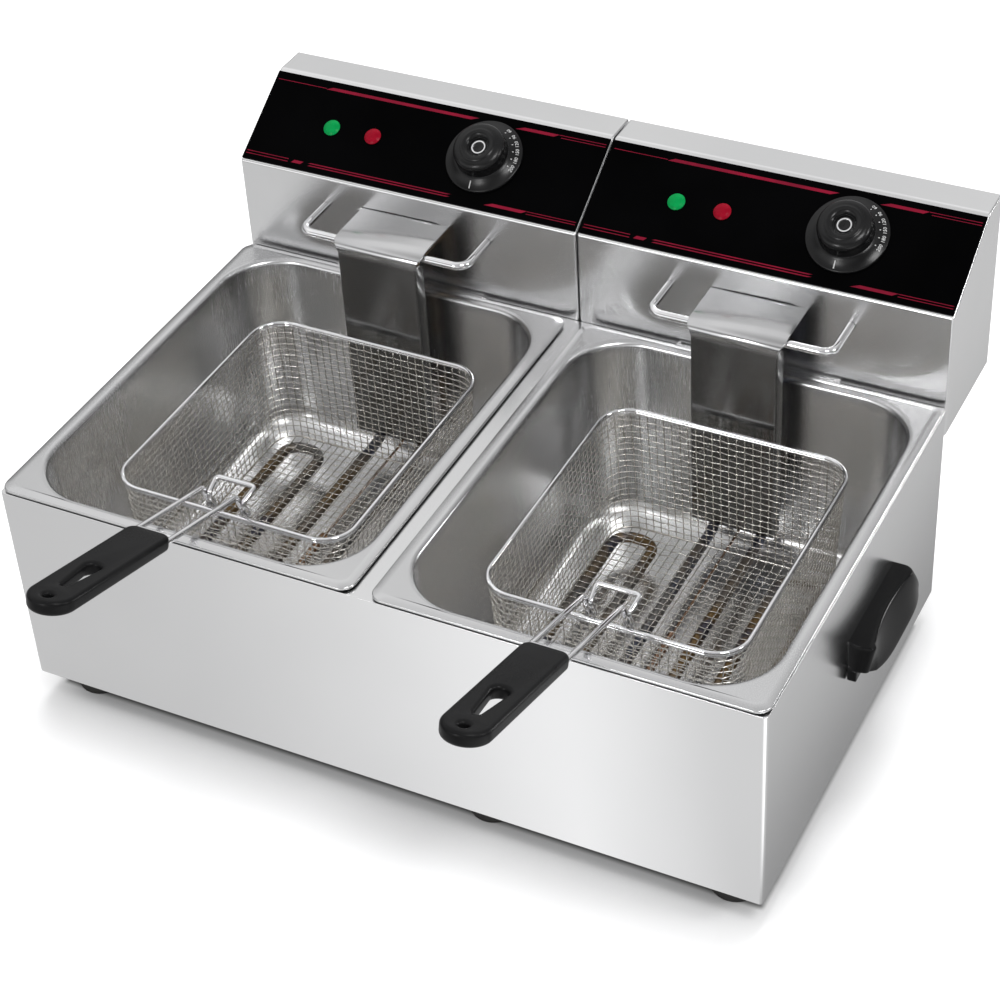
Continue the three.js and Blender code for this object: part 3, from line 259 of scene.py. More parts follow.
class FinishGraph(Graph):
    """The node tree of one new material of the fryer."""

    def __init__(self, name: str) -> None:
        """Starts a material with its Principled shader.

        Args:
            name: the material's name.
        """
        self.material = bpy.data.materials.new(name)
        self.material.use_nodes = True
        super().__init__(self.material.node_tree)
        self.shader = self.tree.nodes["Principled BSDF"]

    def stretched(self, scale: Sequence[float]) -> Socket:
        """Object coordinates, scaled.

        Args:
            scale: cells in a metre along X, Y and Z.

        Returns:
            The vector socket.
        """
        mapping = self.node("Mapping")
        mapping.inputs["Scale"].default_value = scale
        self.link(self.node("TexCoord").outputs["Object"], mapping.inputs["Vector"])
        return mapping.outputs["Vector"]

    def noise(self, vector: Socket, detail: float = 2.0, rough: float = 0.5) -> Socket:
        """Noise over a vector.

        Args:
            vector: the coordinates, one cell to a unit.
            detail: the number of finer octaves.
            rough: their strength.

        Returns:
            The noise's value, about 0.3 to 0.7.
        """
        made = self.node("TexNoise")
        for key, number in {"Scale": 1.0, "Detail": detail, "Roughness": rough}.items():
            made.inputs[key].default_value = number
        self.link(vector, made.inputs["Vector"])
        return made.outputs["Fac"]

    def mix(self, factor: Socket, low: Color | Socket, high: Color | Socket) -> Socket:
        """Mixes two colours."""
        return self.blend("RGBA", factor, low, high)

    def edge(self, reach: float) -> Socket:
        """How near a point is to an outer or inner edge.

        Args:
            reach: the width of the zone along the edge, in metres.

        Returns:
            0 on open faces, rising to about 0.3 on an edge.
        """
        rounded = self.node("Bevel", samples=4)
        rounded.inputs["Radius"].default_value = reach
        plain = self.node("NewGeometry")
        match = self.node("VectorMath", operation="DOT_PRODUCT")
        self.link(rounded.outputs["Normal"], match.inputs[0])
        self.link(plain.outputs["Normal"], match.inputs[1])
        return self.span(match.outputs["Value"], 0.7, 1.0, 0.3, 0.0)

    def bump(self, height: Socket, depth: float) -> None:
        """Gives the shader a relief.

        Args:
            height: the relief, 0 to 1.
            depth: its depth in metres.
        """
        made = self.node("Bump")
        made.inputs["Strength"].default_value = 1.0
        made.inputs["Distance"].default_value = depth
        self.link(height, made.inputs["Height"])
        self.link(made.outputs["Normal"], self.shader.inputs["Normal"])


@dataclass(frozen=True)
class Finish:
    """A finish with cloudy variation, a fine grain and lighter edges: rubbed edges on most
    finishes, a painted edge highlight on the bakelite.
    """

    name: str
    color: Color
    shade: Color
    metallic: float = 0.0
    roughness: Pair = (0.3, 0.4)
    cloud: float = 9.0
    grain: Grain = Grain.EVEN
    grain_cells: float = 900.0
    grain_stretch: float = 40.0
    depth: float = 0.000004
    edge_wear_and_highlight: Color | None = None
    specular: float = 0.5
    coat: float = 0.0

    def grain_value(self, graph: FinishGraph) -> Socket:
        """The fine structure of the surface.

        Args:
            graph: the material being made.

        Returns:
            A value that varies about 0.5.
        """
        fine = self.grain_cells
        slow = fine / self.grain_stretch
        if self.grain is Grain.EVEN:
            return graph.noise(graph.stretched((fine, fine, fine)), 3.0)
        if self.grain is Grain.DRAWN:
            return graph.noise(graph.stretched((fine, fine, slow)))
        if self.grain is Grain.TURNED:
            place = graph.parts("TexCoord", "Object")
            across = graph.math("POWER", place["X"], 2.0)
            along = graph.math("POWER", place["Y"], 2.0)
            radius = graph.math("SQRT", graph.math("ADD", across, along))
            rings = graph.node("CombineXYZ")
            graph.link(graph.math("MULTIPLY", radius, fine), rings.inputs["X"])
            graph.link(graph.math("MULTIPLY", place["Z"], fine), rings.inputs["Z"])
            return graph.noise(rings.outputs["Vector"])
        along_x = graph.noise(graph.stretched((slow, fine, fine)))
        along_y = graph.noise(graph.stretched((fine, slow, fine)))
        facing = graph.math("POWER", graph.parts("TexCoord", "Normal")["X"], 2.0)
        return graph.blend("FLOAT", graph.span(facing, 0.4, 0.6, 0.0, 1.0), along_x, along_y)

    def tone(self, graph: FinishGraph, cloud: Socket) -> Socket:
        """The surface's colour before its lighter edges, with its slow variation."""
        return graph.mix(graph.span(cloud, 0.35, 0.65, 0.0, 1.0), self.color, self.shade)

    def make(self) -> bpy.types.Material:
        """Builds the material, once.

        Returns:
            The material.
        """
        name = f"finish_{self.name}"
        ready = bpy.data.materials.get(name)
        if ready:
            return ready
        graph = FinishGraph(name)
        cloud = graph.noise(graph.stretched((self.cloud,) * 3), 3.0, 0.55)
        grain = self.grain_value(graph)
        tone = self.tone(graph, cloud)
        # Lighter edges: rubbed edges, and on the bakelite a painted highlight along its creases.
        if self.edge_wear_and_highlight:
            broken = graph.noise(graph.stretched((EDGE_WEAR_AND_HIGHLIGHT_CELLS,) * 3), 3.0)
            broken = graph.span(broken, 0.3, 0.7, -0.05, 0.03)
            worn_and_lit_edge = graph.math("ADD", graph.edge(EDGE_WEAR_AND_HIGHLIGHT_REACH), broken)
            tone = graph.mix(graph.span(worn_and_lit_edge, 0.03, 0.16, 0.0, 0.8), tone, self.edge_wear_and_highlight)
        sockets = graph.shader.inputs
        graph.link(tone, sockets["Base Color"])
        slow, fine = graph.math("MULTIPLY", cloud, 0.6), graph.math("MULTIPLY", grain, 0.4)
        mixed = graph.math("ADD", slow, fine)
        graph.link(graph.span(mixed, 0.38, 0.62, *self.roughness), sockets["Roughness"])
        graph.bump(grain, self.depth)
        sockets["Metallic"].default_value = self.metallic
        sockets["Specular IOR Level"].default_value = self.specular
        sockets["Coat Weight"].default_value = self.coat
        self.extra(graph)
        return graph.material

    def extra(self, graph: FinishGraph) -> None:
        """A place for a finish's own settings; the plain finish has none."""


@dataclass(frozen=True)
class LensFinish(Finish):
    """A tinted lens with a faint glow of its lamp."""

    glow: float = 0.25

    def extra(self, graph: FinishGraph) -> None:
        """Adds the glow."""
        graph.shader.inputs["Emission Color"].default_value = (*self.color, 1.0)
        graph.shader.inputs["Emission Strength"].default_value = self.glow


@dataclass(frozen=True)
class HeatTintFinish(Finish):
    """Metal that heat has coloured in patches."""

    straw: Color = (0.20, 0.13, 0.06)
    blue: Color = (0.06, 0.07, 0.11)
    patch_cells: float = 28.0

    def tone(self, graph: FinishGraph, cloud: Socket) -> Socket:
        """Base metal that turns straw and blue in patches.

        Args:
            graph: the material being made.
            cloud: slow variation over the surface.

        Returns:
            The colour.
        """
        patches = graph.noise(graph.stretched((self.patch_cells,) * 3), 4.0, 0.6)
        warm = graph.mix(graph.span(cloud, 0.4, 0.6, 0.0, 1.0), self.color, self.straw)
        return graph.mix(graph.span(patches, 0.52, 0.62, 0.0, 0.8), warm, self.blue)


@dataclass(frozen=True)
class PaintedShadingFinish(Finish):
    """Sheet steel with painted shading: another tone painted below a height."""

    # Painted shading below the zone: a tone that stands in for how light falls there, not another
    # steel.
    lower: Color = (0.22, 0.219, 0.217)
    below: float = 0.226
    above: float = 0.2305

    def tone(self, graph: FinishGraph, cloud: Socket) -> Socket:
        """The upper steel, which turns into the painted lower tone between the two heights."""
        share = graph.span(graph.parts("TexCoord", "Object")["Z"], self.below, self.above, 0.0, 1.0)
        return graph.mix(share, self.lower, super().tone(graph, cloud))


HOUSING_STEEL = Finish(
    "housing_steel", (0.80, 0.80, 0.805), (0.76, 0.762, 0.768), 1.0, (0.2, 0.26),
    cloud=3.0, grain=Grain.BRUSHED, grain_cells=2600.0, grain_stretch=60.0, depth=0.0000002,
)
HEAD_STEEL = Finish(
    "head_steel", (0.82, 0.82, 0.825), (0.77, 0.772, 0.778), 1.0, (0.22, 0.27),
    cloud=5.0, grain=Grain.BRUSHED, grain_cells=2600.0, grain_stretch=60.0, depth=0.00000012,
)
# Painted light and shade: the flange is painted darker and the walls and floor lighter, for how the
# drawn steel reflects the room.
PAINTED_SHADING_TANK_STEEL = PaintedShadingFinish(
    "tank_steel", (0.67, 0.67, 0.675), (0.61, 0.612, 0.62), 1.0, (0.262, 0.276),
    cloud=6.0, grain=Grain.DRAWN, grain_cells=2000.0, depth=0.00000016,
    lower=(0.82, 0.82, 0.822), below=0.178, above=0.185,
)
# Painted shade: the upright plate below the bend is painted dark, for the dark tank that it
# reflects.
PAINTED_SHADE_COVER_STEEL = PaintedShadingFinish(
    "cover_steel", (0.60, 0.60, 0.605), (0.54, 0.542, 0.55), 1.0, (0.14, 0.2),
    cloud=14.0, grain=Grain.BRUSHED, grain_cells=2600.0, grain_stretch=60.0, depth=0.0000002,
)
PLAIN_STEEL = Finish(
    "plain_steel", (0.62, 0.62, 0.625), (0.56, 0.563, 0.57), 1.0, (0.3, 0.4),
    cloud=12.0, grain=Grain.BRUSHED, depth=0.000002,
)
CHROME = Finish(
    "bright_chrome", (0.86, 0.86, 0.87), (0.80, 0.80, 0.81), 1.0, (0.04, 0.08),
    cloud=40.0, depth=0.0000004,
)
BASKET_WIRE = Finish(
    "basket_wire", (0.74, 0.72, 0.68), (0.60, 0.58, 0.54), 1.0, (0.14, 0.22),
    cloud=60.0, depth=0.0000006,
)
TURNED_STEEL = Finish(
    "turned_steel", (0.66, 0.66, 0.67), (0.6, 0.6, 0.61), 1.0, (0.25, 0.35),
    cloud=50.0, grain=Grain.TURNED, depth=0.000002,
)
SHEATH = HeatTintFinish(
    "element_sheath", (0.17, 0.165, 0.16), (0.1, 0.1, 0.1), 0.85, (0.34, 0.5),
    cloud=11.0, grain_cells=1400.0, depth=0.00001,
)
COPPER = HeatTintFinish(
    "copper_bulb", (0.40, 0.25, 0.17), (0.32, 0.2, 0.14), 1.0, (0.25, 0.4),
    cloud=20.0, depth=0.000003, straw=(0.32, 0.19, 0.11), blue=(0.2, 0.14, 0.12),
)
PANEL_FILM = Finish(
    "panel_film", (0.0006, 0.0006, 0.0007), (0.0014, 0.0014, 0.0016), 0.0, (0.1, 0.2),
    cloud=10.0, grain_cells=2500.0, depth=0.000001, specular=0.01,
)
PRINT_RED = Finish(
    "print_red", (0.235, 0.006, 0.026), (0.16, 0.005, 0.02), 0.0, (0.35, 0.5),
    cloud=70.0, grain_cells=3000.0, depth=0.000002, specular=0.1,
)
PRINT_WHITE = Finish(
    "print_white", (0.72, 0.72, 0.72), (0.5, 0.5, 0.5), 0.0, (0.45, 0.6),
    cloud=400.0, grain_cells=3000.0, depth=0.000002, specular=0.3,
)
KNOB_BLACK = Finish(
    "knob_black", (0.005, 0.005, 0.0054), (0.009, 0.009, 0.0094), 0.0, (0.2, 0.26),
    cloud=50.0, grain_cells=2200.0, depth=0.000006, edge_wear_and_highlight=(0.05, 0.05, 0.052),
    specular=0.26,
)
# Painted highlight: its light edge colour stands in for the thin highlights along the handle's
# creases.
BAKELITE = Finish(
    "bakelite_black", (0.0018, 0.0018, 0.002), (0.003, 0.003, 0.0033), 0.0, (0.14, 0.22),
    cloud=24.0, grain_cells=1600.0, depth=0.000005, edge_wear_and_highlight=(0.2, 0.2, 0.205),
    specular=0.17,
)
GRIP_PLASTIC = Finish(
    "grip_plastic", (0.006, 0.006, 0.0064), (0.009, 0.009, 0.0094), 0.0, (0.26, 0.36),
    cloud=30.0, grain_cells=1800.0, depth=0.000012, edge_wear_and_highlight=(0.05, 0.05, 0.05),
    specular=0.11,
)
GLAND_NYLON = Finish(
    "gland_nylon", (0.018, 0.018, 0.018), (0.03, 0.03, 0.03), 0.0, (0.42, 0.55),
    cloud=60.0, grain_cells=1500.0, depth=0.00002,
)
RUBBER = Finish(
    "foot_rubber", (0.026, 0.026, 0.026), (0.045, 0.044, 0.042), 0.0, (0.7, 0.85),
    cloud=60.0, grain_cells=900.0, depth=0.00006, specular=0.3,
)
CERAMIC = Finish(
    "ivory_ceramic", (0.76, 0.72, 0.62), (0.68, 0.63, 0.53), 0.0, (0.35, 0.5),
    cloud=50.0, grain_cells=1200.0, depth=0.00003, edge_wear_and_highlight=(0.5, 0.45, 0.36),
)
GREEN_LENS = LensFinish(
    "green_lens", (0.0008, 0.2, 0.046), (0.0012, 0.26, 0.062), 0.0, (0.2, 0.3),
    cloud=150.0, grain_cells=1500.0, depth=0.00001, specular=0.08,
)
RED_LENS = LensFinish(
    "red_lens", (0.19, 0.0015, 0.010), (0.25, 0.003, 0.015), 0.0, (0.2, 0.3),
    cloud=150.0, grain_cells=1500.0, depth=0.00001, specular=0.08,
)
RED_BUTTON = Finish(
    "red_button", (0.5, 0.02, 0.02), (0.42, 0.02, 0.02), 0.0, (0.25, 0.35),
    cloud=90.0, grain_cells=1500.0, depth=0.00001,
)


# ---- Shape helpers ----


def arc(steps: int, degrees: float = 90.0, first: int = 0) -> list[Pair]:
    """The cosines and sines of even steps of a turn, from the first one asked for."""
    turns = [math.radians(degrees) * step / steps for step in range(first, steps + 1)]
    return [(math.cos(turn), math.sin(turn)) for turn in turns]


def shares(steps: int, first: int = 0) -> list[float]:
    """Even shares from 0, or from the first step, to 1."""
    return [step / steps for step in range(first, steps + 1)]


def circle(count: int, phase: float = 0.0) -> list[Pair]:
    """The cosines and sines of evenly spaced places round a circle."""
    turns = [2 * math.pi * (i + phase) / count for i in range(count)]
    return [(math.cos(turn), math.sin(turn)) for turn in turns]


def rounded_loop(half_x: float, half_y: float, radius: float, steps: int) -> list[Vector]:
    """A rectangle with rounded corners, drawn anticlockwise from its right side.

    Args:
        half_x: half its width.
        half_y: half its depth.
        radius: the corners' radius.
        steps: the flat steps in each corner.

    Returns:
        Its points, at height 0.
    """
    points = []
    for corner, (sx, sy) in enumerate(((1, 1), (-1, 1), (-1, -1), (1, -1))):
        for share in shares(steps):
            turn = math.radians(90) * (corner + share)
            x = sx * (half_x - radius) + radius * math.cos(turn)
            y = sy * (half_y - radius) + radius * math.sin(turn)
            points.append(Vector((x, y, 0.0)))
    return points


def bent_path(points: Sequence[Point], bend: float, steps: int = 8) -> list[Vector]:
    """Straight runs between points, with a round bend at each corner.

    Args:
        points: the corners and the two ends.
        bend: the bends' radius.
        steps: the flat steps in each bend.

    Returns:
        The points of the centre line.
    """
    corners = [Vector(p) for p in points]
    path = [corners[0]]
    for before, corner, after in zip(corners, corners[1:], corners[2:]):
        inward = (corner - before).normalized()
        outward = (after - corner).normalized()
        angle = inward.angle(outward)
        side = (outward - inward * inward.dot(outward)).normalized()
        start = corner - inward * bend * math.tan(angle / 2)
        centre = start + side * bend
        for step in range(steps + 1):
            turn = angle * step / steps
            path.append(centre - side * bend * math.cos(turn) + inward * bend * math.sin(turn))
    return [*path, corners[-1]]


class Shape:
    """A mesh being built, which ends as one named object of the fryer."""

    def __init__(self) -> None:
        """Starts an empty mesh."""
        self.mesh = bmesh.new()

    def ring(self, points: Iterable[Point]) -> list[bmesh.types.BMVert]:
        """Adds a row of vertices."""
        return [self.mesh.verts.new(p) for p in points]

    def bridge(self, first: list, second: list, closed: bool = True) -> None:
        """Joins two rows of vertices with four-sided faces.

        Args:
            first: one row.
            second: the next row, with as many vertices.
            closed: whether the rows go all the way round.
        """
        count = len(first)
        for i in range(count if closed else count - 1):
            j = (i + 1) % count
            self.mesh.faces.new((first[i], first[j], second[j], second[i]))

    def loft(
        self, rows: Sequence[Iterable[Point]], closed: bool = True, capped: bool = False,
    ) -> list[list[bmesh.types.BMVert]]:
        """A skin over several rows of points.

        Args:
            rows: the rows, each with as many points.
            closed: whether each row goes all the way round.
            capped: whether the first and last rows are closed with a face.

        Returns:
            The rows of vertices.
        """
        rings = [self.ring(row) for row in rows]
        for first, second in zip(rings, rings[1:]):
            self.bridge(first, second, closed)
        if capped:
            self.mesh.faces.new(rings[0][::-1])
            self.mesh.faces.new(rings[-1])
        return rings

    def turned(self, profile: Sequence[Pair], sides: int, place: Matrix) -> None:
        """A piece turned about its own Z axis.

        Args:
            profile: points as radius and height; a radius of 0 closes an end.
            sides: the number of sides.
            place: where the piece goes.
        """
        rings = []
        for radius, height in profile:
            spots = circle(sides) if radius else [(0.0, 0.0)]
            rings.append(self.ring(
                place @ Vector((radius * x, radius * y, height)) for x, y in spots
            ))
        for rows in zip(rings, rings[1:]):
            if len(rows[0]) == len(rows[1]):
                self.bridge(*rows)
                continue
            for i in range(sides):
                first, second = ([row[k % len(row)] for k in (i, (i + 1) % sides)] for row in rows)
                self.mesh.faces.new(dict.fromkeys(first + second[::-1]))

    def tube(
        self, path: Sequence[Vector], radius: float, sides: int = 12,
        closed: bool = False, frames: Callable[[int], tuple[Vector, Vector]] | None = None,
    ) -> None:
        """A round wire along a path.

        Args:
            path: the centre line.
            radius: the wire's radius.
            sides: the sides of its section.
            closed: whether its ends meet.
            frames: gives the two directions of the section at a point, if they are known.
        """
        count = len(path)
        rows = []
        across: Vector | None = None
        for i, point in enumerate(path):
            if frames:
                first, second = frames(i)
            else:
                if closed:
                    along = path[(i + 1) % count] - path[i - 1]
                else:
                    along = path[min(i + 1, count - 1)] - path[max(i - 1, 0)]
                along = along.normalized()
                if across is None:
                    across = along.orthogonal()
                across = (across - along * across.dot(along)).normalized()
                first, second = across, along.cross(across)
            rows.append([point + (first * x + second * y) * radius for x, y in circle(sides, 0.5)])
        rings = self.loft(rows, capped=not closed)
        if closed:
            self.bridge(rings[-1], rings[0])

    def block(
        self, low: Point, high: Point, edge: float = 0.0, place: Matrix | None = None,
    ) -> None:
        """A box with eased edges.

        Args:
            low: its lowest corner.
            high: its highest corner.
            edge: the width of its edges' rounding.
            place: where it goes, if it isn't upright.
        """
        low, high = Vector(low), Vector(high)
        made = bmesh.ops.create_cube(self.mesh, size=1.0)["verts"]
        for vert in made:
            vert.co = Vector([low[i] + (vert.co[i] + 0.5) * (high[i] - low[i]) for i in range(3)])
        if edge:
            edges = {e for v in made for e in v.link_edges}
            made = bmesh.ops.bevel(
                self.mesh, geom=list(edges), offset=edge, segments=3, profile=0.5, affect="EDGES",
            )["verts"]
        if place:
            bmesh.ops.transform(self.mesh, matrix=place, verts=list(set(made)))

    def copy_of(self, node: str) -> None:
        """Adds a CAD node's faces, with its flat triangles joined into whole faces.

        Args:
            node: the CAD node.
        """
        self.mesh.from_mesh(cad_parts[node].data)
        bmesh.ops.remove_doubles(self.mesh, verts=self.mesh.verts, dist=WELD)
        bmesh.ops.dissolve_limit(
            self.mesh, angle_limit=FLAT, use_dissolve_boundaries=False,
            verts=self.mesh.verts, edges=self.mesh.edges,
        )

    def round_edges(self, width_of: EdgeRule, segments: int = 3) -> None:
        """Rounds the sharp outward edges.

        Args:
            width_of: gives the width for an edge's middle, direction and length, or 0.
            segments: the steps of each rounding.
        """
        self.mesh.normal_update()
        chosen: dict[float, list[bmesh.types.BMEdge]] = {}
        for edge in self.mesh.edges:
            if len(edge.link_faces) != 2 or not edge.is_convex:
                continue
            if edge.calc_face_angle(0.0) < SHARP:
                continue
            first, second = (v.co for v in edge.verts)
            along = (second - first).normalized()
            width = width_of((first + second) / 2, along, edge.calc_length())
            if width:
                chosen.setdefault(width, []).append(edge)
        for width in sorted(chosen, reverse=True):
            edges = [e for e in chosen[width] if e.is_valid]
            bmesh.ops.bevel(
                self.mesh, geom=edges, offset=width, segments=segments, profile=0.5,
                affect="EDGES", clamp_overlap=False,
            )

    def finished(
        self, name: str, finish: Finish, body: str, nodes: Sequence[str] = (),
        crease: float = 32.0, place: Matrix | None = None, level: bool = False,
    ) -> bpy.types.Object:
        """Turns the mesh into a piece of the fryer.

        Args:
            name: the piece's name.
            finish: its finish.
            body: the body that it rides on.
            nodes: the CAD nodes that it stands for.
            crease: edges sharper than this many degrees stay sharp.
            place: the object's own axes, so that a turned grain runs about them.
            level: whether its large faces are kept looking flat.

        Returns:
            The new object.
        """
        bmesh.ops.remove_doubles(self.mesh, verts=self.mesh.verts, dist=2 * WELD)
        bmesh.ops.recalc_face_normals(self.mesh, faces=self.mesh.faces)
        for face in self.mesh.faces:
            face.smooth = True
        for edge in self.mesh.edges:
            edge.smooth = edge.calc_face_angle(0.0) < math.radians(crease)
        data = bpy.data.meshes.new(name)
        if place:
            bmesh.ops.transform(self.mesh, matrix=place.inverted(), verts=self.mesh.verts)
        self.mesh.to_mesh(data)
        self.mesh.free()
        data.materials.append(finish.make())
        piece = in_scene(name, data)
        if place:
            piece.matrix_world = place
        if level:
            piece.modifiers.new("level_faces", "WEIGHTED_NORMAL").keep_sharp = True
        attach(piece, body)
        if nodes:
            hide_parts(*nodes)
        LOG.info("%s: %d faces, on %s", name, len(data.polygons), body)
        return piece


def repaint(node: str, finish: Finish) -> None:
    """Gives a CAD node that stays in view its finish.

    Args:
        node: the CAD node.
        finish: its finish.
    """
    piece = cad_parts[node]
    piece.data.materials.clear()
    piece.data.materials.append(finish.make())
    LOG.info("%s: repainted", node)


def in_scene(name: str, data: bpy.types.ID) -> bpy.types.Object:
    """Puts a mesh, curve, lamp or camera into the scene.

    Args:
        name: the object's name.
        data: what it shows.

    Returns:
        The new object.
    """
    made = bpy.data.objects.new(name, data)
    bpy.context.scene.collection.objects.link(made)
    return made


def evaluated(maker: bpy.types.Object) -> bpy.types.Mesh:
    """The mesh of an object with its modifiers, or of a curve or text.

    Args:
        maker: the object.

    Returns:
        A new mesh.
    """
    graph = bpy.context.evaluated_depsgraph_get()
    graph.update()
    return bpy.data.meshes.new_from_object(maker.evaluated_get(graph))


def centre_of(node: str) -> Vector:
    """The middle of a CAD node's box."""
    low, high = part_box(node)
    return (low + high) / 2


def long_edges(width: float, over: float) -> EdgeRule:
    """A rule that rounds only the edges over a length, both in millimetres."""
    return lambda middle, direction, length: width * MM if length > over * MM else 0.0


def eased_node(
    node: str, name: str, finish: Finish, body: str,
    width_of: EdgeRule, segments: int = 2,
) -> None:
    """Replaces a CAD node with itself, its edges rounded.

    Args:
        node: the CAD node.
        name: the new piece's name.
        finish: its finish.
        body: the body that it rides on.
        width_of: the rule for its edges.
        segments: the steps of each rounding.
    """
    shape = Shape()
    shape.copy_of(node)
    shape.round_edges(width_of, segments)
    shape.finished(name, finish, body, [node], level=True)


# ---- Housing ----


@dataclass
class Housing:
    """The folded steel housing, its base plate, feet and carrying handles."""

    fold: float = 0.4
    bottom_fold: float = 1.6
    sheet: float = 1.5

    def shell(self) -> None:
        """The shell, with its outer folds rounded."""
        low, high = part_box("housing_shell")

        def width(middle: Vector, direction: Vector, length: float) -> float:
            """The rounding of one edge of the shell.

            Args:
                middle: the edge's middle.
                direction: its direction.
                length: its length; not used.

            Returns:
                The width, or 0 for an edge that stays sharp.
            """
            outside = min(
                middle.x - low.x, high.x - middle.x, middle.y - low.y, high.y - middle.y,
            ) < self.sheet * MM
            if abs(direction.z) > 0.5 or not outside:
                return 0.0
            if middle.z > high.z - NEAR * MM:
                return self.fold * MM
            return self.bottom_fold * MM if middle.z < low.z + NEAR * MM else 0.0

        eased_node(
            "housing_shell", "steel_housing", HOUSING_STEEL, "housing", width, 4,
        )

    def build(self) -> None:
        """Builds the shell, the base plate, the feet and the handles."""
        self.shell()
        repaint("base_plate", PLAIN_STEEL)
        for row in ("front", "rear"):
            for column in ("left", "middle", "right"):
                Foot(f"foot_{row}_{column}").build()
        for side in Side:
            SideHandle(side).build()


@dataclass
class Foot:
    """A rubber foot: a tapered drum with a groove under its top edge."""

    node: str
    sole: float = 17.0
    edge: float = 2.0
    recess: float = 5.0
    recess_depth: float = 4.0
    ease: float = 0.6
    stud_height: float = 6.0
    stud_radius: float = 2.5
    collar: float = 4.0
    collar_edge: float = 0.8
    groove: Pair = (6.0, 4.5)

    def build(self) -> None:
        """Builds the foot in place of its CAD node."""
        low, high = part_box(self.node)
        radius = (high.x - low.x) / 2 / MM
        top = high.z / MM
        stud = top - self.stud_height
        sole, edge, recess, ease = self.sole, self.edge, self.recess, self.ease
        profile = [
            (0.0, self.recess_depth), (recess, self.recess_depth), (recess, ease),
            (recess + ease, 0.0), (sole - edge, 0.0), (sole - edge * 0.3, edge * 0.3), (sole, edge),
            *((radius - ease, stud - depth) for depth in self.groove),
            (radius, stud - self.collar), (radius, stud - self.collar_edge),
            (radius - self.collar_edge, stud), (self.stud_radius, stud), (self.stud_radius, top),
            (0.0, top),
        ]
        middle = (low + high) / 2
        place = Matrix.Translation((middle.x, middle.y, 0.0))
        shape = Shape()
        shape.turned(profile, 56, place @ TO_METRES)
        shape.finished(
            "rubber_" + self.node, RUBBER, "housing", [self.node], place=place,
        )


